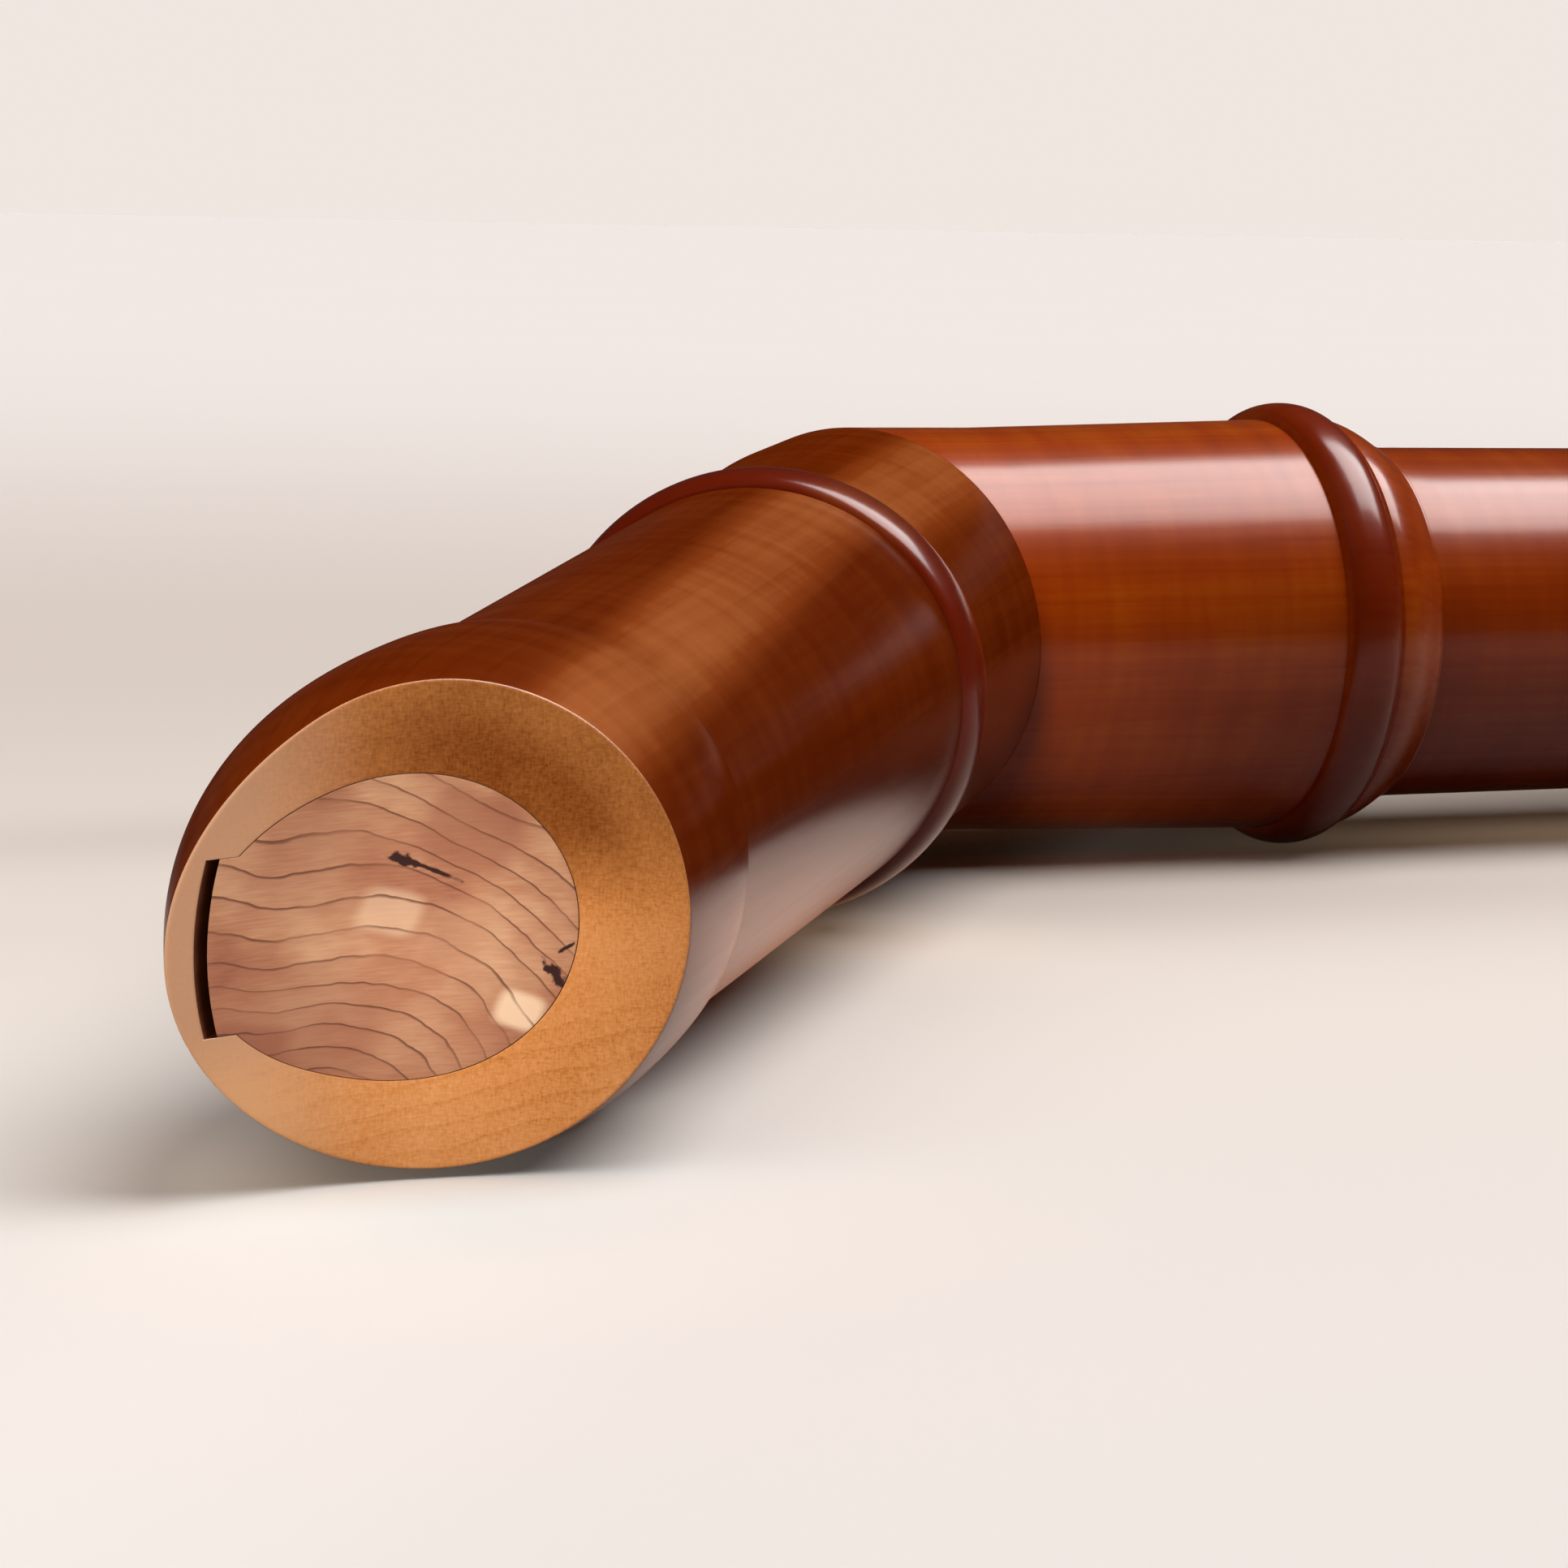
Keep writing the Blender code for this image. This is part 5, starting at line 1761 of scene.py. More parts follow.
def tenon(outline: Outline, layout: Layout, shoulder: float, end: float, radius: float) -> Outline:
    """Add a tenon with its cork recess to an outline.

    Args:
        outline: Outline to add to.
        layout: Shared sizes.
        shoulder: End that the outline comes from or goes to.
        end: Free end of the tenon.
        radius: Its outside radius.

    Returns:
        The outline, from the shoulder to the free end.
    """
    way = 1.0 if end > shoulder else -1.0
    deep = radius - layout.cork_thickness
    first = shoulder + way * layout.cork_inset
    last = end - way * layout.cork_inset
    outline.add((shoulder, radius), (first, radius, 0.0003), (first, deep), (last, deep))
    return outline.add((last, radius, 0.0003), (end, radius, 0.0010))


@dataclass
class MiddleJoint:
    """Middle joint with its tenons, finger holes and corks."""

    layout: Layout
    plan: KeyPlan
    setting: Setting
    outer: Material
    bore: Material
    bone: Material
    cork: Material
    thumb_share: float = 0.148
    finger_shares: tuple[float, ...] = (0.2765, 0.3802, 0.6667, 0.7654)
    finger_radius: float = 0.0044
    rim_depth: float = 0.0012
    rim_rise: float = 0.0010
    rim_width: float = 0.0009
    bush_radius: float = 0.0060
    bush_wall: float = 0.0016
    bore_top: float = 0.0140
    bore_low: float = 0.0114
    count: int = 144
    pitch: float = 0.0042

    @property
    def thumb(self) -> float:
        """Place of the thumb hole."""
        return self.layout.middle_start + self.thumb_share * self.layout.middle_length

    def finger_hole(self, x: float) -> Object:
        """Cutter of a finger hole with a softened rim.

        Args:
            x: Place of the hole.

        Returns:
            The cutter.
        """
        skin, radius = self.layout.middle_radius(x), self.finger_radius
        high, wide = 1.2 * skin, radius + self.rim_width
        line = Outline((0.0, 0.0), (0.0, radius), (skin - self.rim_depth, radius, self.rim_rise))
        line.add((skin + self.rim_rise, wide), (high, wide), (high, 0.0))
        return turned_at("finger_hole", line, Facets.FINGER_HOLE, x, Side.FRONT.value)

    def build(self) -> None:
        """Make the joint, drill it and hand it over."""
        lay, plan = self.layout, self.plan
        start, end = lay.middle_start, lay.middle_end
        top, low = start - lay.top_tenon_length, end + lay.low_tenon_length
        upper = tenon(Outline(), lay, start, top, lay.top_tenon_radius)
        line = Outline(*upper.marks[::-1], (start, lay.middle_top, 0.0003), (end, lay.middle_low, 0.0003))
        tenon(line, lay, end, low, lay.low_tenon_radius)
        line.add((low, self.bore_low, 0.0008), (top, self.bore_top, 0.0008))
        joint = wear(turned("middle_tube", line, self.count, self.pitch), self.outer, self.bore)
        line_bore(joint, 1.03 * self.bore_top)
        drill = rod(0.0, 1.2 * lay.middle_top, self.bush_radius + lay.fit_gap / 3)
        tools = [turned_at("thumb_hole", drill, Facets.THUMB_HOLE, self.thumb, Side.BACK.value)]
        tools += [self.finger_hole(start + share * lay.middle_length) for share in self.finger_shares]
        tools += [plan.tone_hole(key) for key in plan.keys[:2]]
        tools += [plan.post_hole(axle, x) for axle in ("hole_3", "hole_6") for x in plan.posts(axle)]
        combine(joint, gather("drills", tools), Shaping.CUT)
        settle(joint, self.setting.body)
        hand_over(joint, Body.MIDDLE, Slot.PEAR, "middle_joint")

    def build_bush(self) -> None:
        """Make the bush that lines the thumb hole."""
        gap, outer = self.layout.fit_gap, self.bush_radius
        low, high = self.bore_top + gap, self.layout.middle_radius(self.thumb) + gap
        hole = outer - self.bush_wall
        line = Outline((low, hole, 0.0003), (high, hole, 0.0006), (high, outer, 0.0003), (low, outer, 0.0002))
        bush = turned_at("thumb_hole_bush", line, Facets.DISC, self.thumb, Side.BACK.value)
        deliver(bush, self.bone, self.setting.body, Body.MIDDLE, Slot.BONE, "thumb_bush")

    def build_corks(self) -> None:
        """Make the cork sleeves of both tenons."""
        lay = self.layout
        inset = lay.cork_inset + lay.fit_gap
        sleeves = (
            ("head_tenon_cork", -1.0, lay.middle_start, lay.top_tenon_length, lay.top_tenon_radius),
            ("foot_tenon_cork", 1.0, lay.middle_end, lay.low_tenon_length, lay.low_tenon_radius),
        )
        for node, way, shoulder, length, radius in sleeves:
            first = shoulder + way * inset
            last = shoulder + way * length - way * inset
            deep = radius - lay.cork_thickness + lay.fit_gap / 2
            high = radius + lay.fit_gap
            line = Outline((first, high, 0.0008), (last, high, 0.0008), (last, deep), (first, deep))
            sleeve = turned(node + "_sleeve", line, self.count, self.pitch)
            deliver(sleeve, self.cork, self.setting.body, Body.MIDDLE, Slot.CORK, node)


@dataclass
class FootJoint:
    """Foot with its rings, key seats and open end."""

    layout: Layout
    plan: KeyPlan
    setting: Setting
    outer: Material
    bore: Material
    ring_width: float = 0.0120
    end_radius: float = 0.0264
    end_length: float = 0.0082
    bore_top: float = 0.0112
    bore_low: float = 0.0098
    bell_radius: float = 0.0115
    count: int = 160
    pitch: float = 0.0045

    def outside(self) -> list[Point]:
        """Outside of the foot from its socket to its end.

        Returns:
            Its (place, radius) points.
        """
        lay = self.layout
        start, lip_length, rise = lay.foot_start, lay.lip_length, lay.ring_height
        lip = lay.middle_low + lay.lip_wall / 8
        base = lay.foot_outside + rise
        ring = start + lip_length + lay.ring_groove
        ring_end = ring + lay.ring_width
        low_end = lay.foot_end - self.end_length
        low_start = low_end - self.ring_width
        low_base = self.end_radius + lay.lip_wall / 8
        pulls = (
            (start + 0.30 * lip_length, 0.65 * lip + 0.35 * base),
            (start + 0.65 * lip_length, base + 0.1 * rise),
        )
        points = bezier((start, lip), *pulls, (start + lip_length, base + 0.15 * rise), 24)
        points += bead(ring, ring_end, (base, base), rise)
        cove = (ring_end + lay.ring_groove, lay.foot_outside + 0.6 * rise)
        straight = [(ring_end + far * lay.ring_width, lay.foot_outside) for far in (1.0, 1.5, 2.0)]
        points += bezier(cove, *straight, 16)
        bell_start = self.plan.keys[3].end + 4 * self.plan.post_radius
        bell = low_start - bell_start
        pulls = (bell_start + 0.5 * bell, lay.foot_outside), (bell_start + 0.85 * bell, lay.foot_outside)
        points += bezier((bell_start, lay.foot_outside), *pulls, (low_start, low_base), 18)
        points += bead(low_start, low_end, (low_base, low_base), lay.floor_radius - low_base, 30)[1:]
        return points + [(lay.foot_end - 0.2 * self.end_length, low_base)]

    def build(self) -> None:
        """Make the foot, drill it and hand it over."""
        lay, plan, start, end = self.layout, self.plan, self.layout.foot_start, self.layout.foot_end
        socket = lay.low_tenon_radius + 2 * lay.fit_gap
        socket_end = start + lay.low_tenon_length + 2 * lay.fit_gap
        low_start = end - self.end_length - self.ring_width
        line = Outline(*self.outside(), (end, self.end_radius, 0.0010), (end, self.bell_radius, 0.0012))
        line.add((low_start, self.bore_low, 0.0040), (socket_end, self.bore_top), (socket_end, socket))
        line.add((start, socket, 0.0004))
        foot = wear(turned("foot_tube", line, self.count, self.pitch), self.outer, self.bore)
        line_bore(foot, 1.1 * self.bell_radius)
        tools = [plan.tone_hole(key) for key in plan.keys[2:]]
        tools += [plan.post_hole("foot", x) for x in plan.posts("foot")]
        combine(foot, gather("drills", tools), Shaping.CUT)
        settle(foot, self.setting.body)
        hand_over(foot, Body.FOOT, Slot.PEAR, "foot_joint")


# Keys


@dataclass
class Keywork:
    """Levers, pads, springs, axles and posts."""

    plan: KeyPlan
    repeat: SetOut
    setting: Setting
    brass: Material
    steel: Material
    leather: Material
    open_deg: float = 6.0
    axle_radius: float = 0.0013
    axle_head_radius: float = 0.0020
    axle_head_length: float = 0.0012
    barrel_radius: float = 0.0029
    arm_lift: float = 0.0021
    arm_thickness: float = 0.0022
    arm_width: float = 0.0060
    arm_bow: float = 0.55
    cup_side_deg: float = 4.0
    barrel_notch: float = 0.0022
    touch_radius: float = 0.0075
    touch_thickness: float = 0.0020
    touch_side_deg: float = 16.0
    pad_thickness: float = 0.0020
    cup_wall: float = 0.0008
    cup_roof: float = 0.0014
    needle_radius: float = 0.0003
    needle_lift: float = 0.00075
    needle_rise: float = 0.0007
    needle_side_deg: float = 9.0
    flange_height: float = 0.0006
    tool_spare: float = 0.001
    eye_reach: float = 0.004
    slot_depth: float = 0.0005

    def arm(self, x: float, middle: float, first: float, last: float) -> Object:
        """Bent arm with rounded edges.

        Args:
            x: Place along the axis.
            middle: Distance of its middle from the axis.
            first: Angle of its free end.
            last: Angle of its end at the barrel.

        Returns:
            The arm.
        """
        turns = around(Facets.ARM)
        cosine, sine = np.cos(turns), np.sin(turns)
        across = np.sign(cosine) * np.abs(cosine) ** self.arm_bow * self.arm_thickness / 2
        along = np.sign(sine) * np.abs(sine) ** self.arm_bow * self.arm_width / 2
        share = np.concatenate([[0.0, 0.0, 0.004, 0.015], np.linspace(0.04, 1.0, 22), [1.0]])
        size = np.concatenate([[0.0, 0.7, 0.92, 0.99], np.ones(22), [0.0]])
        rows = []
        for part, scale in zip(share, size):
            angle = first + part * (last - first)
            radius = middle + scale * across
            rows.append(np.stack([x + scale * along, radius * math.cos(angle), radius * math.sin(angle)], -1))
        return new_object("arm", mesh_from_rows("arm", rows, False))

    def build_key(self, key: Key) -> None:
        """Make one lever and its pad, shaped closed and then swung open.

        Args:
            key: Which key.
        """
        plan, gap, front = self.plan, self.plan.layout.fit_gap, Side.FRONT.value
        cup_x, touch_x = key.base + key.cup, key.base + key.touch
        radius = key.skin(key.start)
        seat = key.skin(cup_x) - plan.seat_depth
        axle = polar(radius + plan.axle_lift, plan.axle_side)
        pad_low, pad_top = seat + gap, seat + gap + self.pad_thickness
        inside = plan.pad_radius + gap
        outside = inside + self.cup_wall
        low, roof = pad_top - self.pad_thickness / 2, pad_top + gap / 2
        top = roof + self.cup_roof
        cup = Outline((roof, 0.0), (roof, inside), (low, inside, 0.0002), (low, outside, 0.0002))
        cup.add((roof + 0.35 * self.cup_roof, outside, 0.0007))
        cup.add((top - 0.0003, 0.62 * outside, 0.0012), (top, 0.0))
        lever = turned_at(key.name + "_lever", cup, Facets.CUP, cup_x, front)
        middle = radius + self.arm_lift + self.arm_thickness / 2
        arm = self.arm(cup_x, middle, math.radians(self.cup_side_deg), plan.axle_side)
        room = rod(0.0, roof + self.cup_roof / 3, inside + self.cup_wall / 2)
        combine(arm, turned_at("pocket", room, Facets.POCKET, cup_x, front), Shaping.CUT)
        combine(lever, arm, Shaping.JOIN)
        side = math.radians(self.touch_side_deg)
        combine(lever, self.arm(touch_x, middle, side, plan.axle_side), Shaping.JOIN)
        low = radius + self.arm_lift + self.arm_thickness / 3
        high, wide = low + self.touch_thickness, self.touch_radius
        touch = Outline((low, 0.0), (low, wide, 0.0006), (high, wide, 0.0009))
        touch.add((high - 0.0004, 0.55 * wide, 0.0015), (high - 0.0005, 0.0))
        combine(lever, turned_at("touch", touch, Facets.TOUCH, touch_x, side), Shaping.JOIN)
        start, end, full = key.start, key.end, self.barrel_radius
        hole = self.axle_radius + gap / 2
        barrel = Outline((start, hole), (start, full, 0.0004))
        for notch in (start + self.barrel_notch, end - self.barrel_notch):
            barrel.add((notch - 0.0004, full), (notch, full - 0.0003), (notch + 0.0004, full))
        barrel.add((end, full, 0.0004), (end, hole))
        bore = rod(start - self.tool_spare, end + self.tool_spare, 0.8 * full)
        for name, line, steps, shaping in (
            ("bore", bore, Facets.BARREL_BORE, Shaping.CUT),
            ("barrel", barrel, Facets.BARREL, Shaping.JOIN),
        ):
            combine(lever, moved(turned(name, line, steps), Matrix.Translation((0.0, *axle))), shaping)
        wide = plan.pad_radius
        disc = Outline((pad_low, 0.0), (pad_low, wide, 0.0008), (pad_top, wide, 0.0004), (pad_top, 0.0))
        pad = turned_at(key.name + "_disc", disc, Facets.DISC, cup_x, front)
        hinge = Matrix.Translation((cup_x, *axle))
        swing = Matrix.Rotation(math.radians(self.open_deg), 4, "X")
        swung = self.setting.body @ hinge @ swing @ hinge.inverted()
        deliver(lever, self.brass, swung, key.body, Slot.BRASS, key.name)
        deliver(pad, self.leather, swung, key.body, Slot.LEATHER, key.name + "_pad")

    def build_needle(self, key: Key, body: Body) -> None:
        """Make one needle spring, tapered to its tip.

        Args:
            key: Key that it holds open.
            body: Body that it rides on.
        """
        plan = self.plan
        radius = key.skin(key.start) + self.needle_lift
        ends = (key.base + key.cup, key.base + key.touch)
        root_x = key.end if key.needle_at_end else key.start
        tip_x = max(ends) if key.needle_at_end else min(ends)
        root = Vector((root_x, *polar(radius, plan.axle_side)))
        tip_side = plan.axle_side - math.radians(self.needle_side_deg)
        tip = Vector((tip_x, *polar(radius + self.needle_rise, tip_side)))
        span = tip - root
        long, thick = span.length, self.needle_radius
        line = Outline((0.0, 0.0), (0.0, thick, 0.0001), (0.6 * long, thick))
        line.add((long, 0.55 * thick, 0.0003), (long, 0.0))
        turn = span.to_track_quat("X", "Z").to_matrix().to_4x4()
        needle = moved(turned(key.name + "_needle", line, Facets.NEEDLE), Matrix.Translation(root) @ turn)
        deliver(needle, self.steel, self.setting.body, body, Slot.STEEL, key.name + "_spring")

    def build_axle(self, name: str, body: Body) -> None:
        """Make one axle with its slotted head.

        Args:
            name: Which axle.
            body: Body that it rides on.
        """
        plan, thick, wide = self.plan, self.axle_radius, self.axle_head_radius
        first, last = plan.posts(name)
        inner = first - plan.post_radius - plan.layout.fit_gap
        front = inner - self.axle_head_length
        tail = last + plan.post_radius + plan.layout.fit_gap
        line = Outline((front, 0.0), (front, wide, 0.0004), (inner, wide, 0.0002), (inner, thick))
        line.add((tail, thick, 0.0004), (tail, 0.0))
        pin = turned(name + "_pin", line, Facets.PIN)
        combine(pin, slot_cutter(front - self.tool_spare, front + self.slot_depth), Shaping.CUT)
        moved(pin, Matrix.Translation((0.0, *polar(plan.line(name), plan.axle_side))))
        deliver(pin, self.steel, self.setting.body, body, Slot.STEEL, "axle_" + name)

    def post(self) -> Object:
        """One post about the middle of its eye, standing along Y.

        Returns:
            The post.
        """
        plan, gap = self.plan, self.plan.layout.fit_gap
        skin = -plan.axle_lift + gap
        deep, flange = skin - plan.shank_length, skin + self.flange_height
        ball, stem = plan.post_radius, plan.stem_radius
        line = Outline((deep, 0.0), (deep, stem, 0.0003), (skin, stem), (skin, ball, 0.0002))
        line.add((flange, ball, 0.0003), (flange + 0.0002, stem, 0.0003))
        sweep = np.linspace(math.asin(stem / ball), math.pi, 16)
        line.add(*[(-ball * math.cos(a), max(ball * math.sin(a), 0.0)) for a in sweep[:-1]], (ball, 0.0))
        post = turned("post", line, Facets.POST)
        quarter = Matrix.Rotation(math.pi / 2, 4, "Z")
        eye = rod(-self.eye_reach, self.eye_reach, self.axle_radius + gap / 3)
        combine(post, moved(turned("eye", eye, Facets.EYE), quarter), Shaping.CUT)
        return settle(post, quarter)

    def build_posts(self) -> None:
        """Set the posts out on the two joints."""
        plan = self.plan
        for body, axles in ((Body.MIDDLE, ("hole_3", "hole_6")), (Body.FOOT, ("foot",))):
            places, nodes = [], []
            for axle in axles:
                for number, x in enumerate(plan.posts(axle), start=1):
                    places.append((x, *polar(plan.line(axle), plan.axle_side)))
                    nodes.append(f"post_{axle}_{number}")
            turns = [(plan.axle_side, 0.0, 0.0)] * len(places)
            posts = self.repeat.make(body.value + "_posts", self.post(), places, turns, self.brass)
            hand_over(moved(posts, self.setting.body), body, Slot.BRASS, *nodes)

    def build(self) -> None:
        """Make all the keywork."""
        for key, carrier in zip(self.plan.keys, (Body.MIDDLE, Body.MIDDLE, Body.FOOT, Body.FOOT)):
            self.build_key(key)
            self.build_needle(key, carrier)
        for name, carrier in (("hole_3", Body.MIDDLE), ("hole_6", Body.MIDDLE), ("foot", Body.FOOT)):
            self.build_axle(name, carrier)
        self.build_posts()


# Fittings on the back


@dataclass
class BackFittings:
    """Strap eye with its ring, thumb rest and their screws."""

    layout: Layout
    repeat: SetOut
    setting: Setting
    brass: Material
    strap_share: float = 0.3259
    strap_length: float = 0.0220
    strap_spread_deg: float = 16.0
    strap_thickness: float = 0.0016
    eye_lift: float = 0.0052
    eye_hole: float = 0.0020
    eye_wall: float = 0.0016
    eye_width: float = 0.0030
    ring_radius: float = 0.0095
    wire_radius: float = 0.0012
    rest_share: float = 0.7111
    rest_length: float = 0.0400
    rest_spread_deg: float = 26.0
    rest_thickness: float = 0.0020
    ledge_height: float = 0.0150
    ledge_width: float = 0.0220
    ledge_thickness: float = 0.0035
    head_radius: float = 0.0024
    head_height: float = 0.0012
    shank_radius: float = 0.0011
    screw_length: float = 0.0080
    screw_inset: float = 0.0042
    screw_point: float = 0.002
    screw_turn: float = 0.7
    drill_reach: float = 0.005

    @staticmethod
    def slab(size: Point, powers: Point, height: float, soft: float, place: Callable) -> Mesh:
        """Slab with rounded corners and softened edges.

        Args:
            size: Half its length and half its width.
            powers: Squareness of its first half and of its last, where 2 is round.
            height: Its thickness.
            soft: Radius of its edges.
            place: Turns arrays of length, width and height places into points.

        Returns:
            Its mesh.
        """
        turns = around(Facets.WIDE)
        cosine, sine = np.cos(turns), np.sin(turns)
        bow = 2.0 / np.where(cosine < 0.0, powers[0], powers[1])
        along = np.sign(cosine) * np.abs(cosine) ** bow
        across = np.sign(sine) * np.abs(sine) ** bow
        bends = np.linspace(0.0, math.pi / 2, 5)
        edge = [(soft * (1 - math.sin(b)), soft * (1 - math.cos(b))) for b in bends]
        flat = [(share, soft, 0.0) for share in (0.0, 0.35, 0.7)]
        levels = flat + [(1.0, inset, level) for inset, level in edge]
        levels += [(share, inset, height - level) for share, inset, level in levels[::-1]]
        rows = []
        for share, inset, level in levels:
            a, b = share * (size[0] - inset), share * (size[1] - inset)
            rows.append(place(a * along, b * across, np.full(turns.shape, level)))
        return mesh_from_rows("slab", rows, False)

    def plate(
        self, name: str, x: float, length: float, spread_deg: float, thickness: float
    ) -> tuple[Object, float]:
        """Curved plate on the back of the middle joint.

        Args:
            name: Name of the piece.
            x: Its middle along the axis.
            length: Its length.
            spread_deg: Half its spread round the axis.
            thickness: Its thickness.

        Returns:
            The plate and the radius of its outside.
        """
        low = self.layout.middle_radius(x - length / 2) + self.layout.fit_gap
        half = math.radians(spread_deg) * low

        def place(along: np.ndarray, across: np.ndarray, level: np.ndarray) -> np.ndarray:
            """Bend the slab round the middle axis."""
            angle = Side.BACK.value + across / low
            return np.stack([x + along, (low + level) * np.cos(angle), (low + level) * np.sin(angle)], -1)

        slab = self.slab((length / 2, half), (5.0, 5.0), thickness, 0.0005, place)
        return new_object(name, slab), low + thickness

    def upright(self, x: float, root: float, top: float, half: float, thickness: float) -> Object:
        """Upright tongue with a round top that stands on a plate.

        Args:
            x: Its middle along the axis.
            root: Distance of its foot from the axis.
            top: Distance of its top from the axis.
            half: Half its width.
            thickness: Its thickness along the axis.

        Returns:
            The tongue.
        """
        rise = top - root

        def place(along: np.ndarray, across: np.ndarray, level: np.ndarray) -> np.ndarray:
            """Stand the slab up."""
            return np.stack([x - thickness / 2 + level, -(root + rise / 2 + along), across], -1)

        return new_object("tongue", self.slab((rise / 2, half), (14.0, 2.6), thickness, 0.0006, place))

    def screw(self) -> Object:
        """One screw about the seat of its head, pointing along -X.

        Returns:
            The screw.
        """
        end, shank, wide, high = -self.screw_length, self.shank_radius, self.head_radius, self.head_height
        low = 0.45 * high
        line = Outline((end, 0.0), (end + self.screw_point, shank, 0.0003), (-0.0001, shank))
        line.add((0.0, wide, 0.0001), (low, wide, 0.0004), (high, 0.55 * wide, 0.0008), (high, 0.0))
        screw = turned("screw", line, Facets.SCREW)
        combine(screw, slot_cutter(low, low + self.screw_point), Shaping.CUT)
        return settle(screw, Matrix.Identity(4))

    def build(self) -> None:
        """Make the fittings and hand them over."""
        lay, body = self.layout, self.setting.body
        strap_x = lay.middle_start + self.strap_share * lay.middle_length
        thick, reach = self.strap_thickness, self.drill_reach
        strap, top = self.plate("strap_eye", strap_x, self.strap_length, self.strap_spread_deg, thick)
        eye = lay.middle_radius(strap_x) + self.eye_lift
        edge = self.eye_hole + self.eye_wall
        tongue = self.upright(strap_x, top - thick / 2, eye + edge, edge, self.eye_width)
        combine(strap, tongue, Shaping.JOIN)
        wide = self.eye_hole + 0.0006
        hole = Outline((-reach, 0.0), (-reach, wide), (0.0, self.eye_hole - 0.0002, 0.002))
        hole.add((reach, wide), (reach, 0.0))
        drill = turned("drill", hole, Facets.STRAP_DRILL)
        combine(strap, moved(drill, Matrix.Translation((strap_x, -eye, 0.0))), Shaping.CUT)
        deliver(strap, self.brass, body, Body.MIDDLE, Slot.BRASS, "strap_plate")
        wire = [(self.wire_radius * math.cos(b), self.wire_radius * math.sin(b)) for b in around(20)]
        ring = turned("strap_loop", Outline(*[(x, self.ring_radius + r) for x, r in wire]), Facets.WIDE)
        hung = Matrix.Translation((strap_x, -eye, -self.ring_radius)) @ Matrix.Rotation(math.pi / 2, 4, "Z")
        deliver(ring, self.brass, body @ hung, Body.STRAP_RING, Slot.BRASS, "strap_ring")
        rest_x = lay.middle_start + self.rest_share * lay.middle_length
        thick = self.rest_thickness
        rest, top = self.plate("thumb_support", rest_x, self.rest_length, self.rest_spread_deg, thick)
        half = self.ledge_width / 2
        ledge = self.upright(rest_x, top - thick / 2, top + self.ledge_height, half, self.ledge_thickness)
        combine(rest, ledge, Shaping.JOIN)
        deliver(rest, self.brass, body, Body.MIDDLE, Slot.BRASS, "thumb_rest")
        self.build_screws(strap_x, rest_x)

    def build_screws(self, strap_x: float, rest_x: float) -> None:
        """Set the four screws out.

        Args:
            strap_x: Middle of the strap plate.
            rest_x: Middle of the thumb rest.
        """
        plates = (
            ("strap_plate", strap_x, self.strap_length, self.strap_thickness),
            ("thumb_rest", rest_x, self.rest_length, self.rest_thickness),
        )
        places, turns, nodes = [], [], []
        for name, x, length, thickness in plates:
            inset = length / 2 - self.screw_inset
            seat = self.layout.middle_radius(x - length / 2) + self.layout.fit_gap + thickness
            for number, way in enumerate((-1.0, 1.0), start=1):
                places.append((x + way * inset, -seat, 0.0))
                turns.append((self.screw_turn * len(places), 0.0, -math.pi / 2))
                nodes.append(f"{name}_screw_{number}")
        screws = self.repeat.make("plate_screws", self.screw(), places, turns, self.brass)
        hand_over(moved(screws, self.setting.body), Body.MIDDLE, Slot.BRASS, *nodes)


# Studio


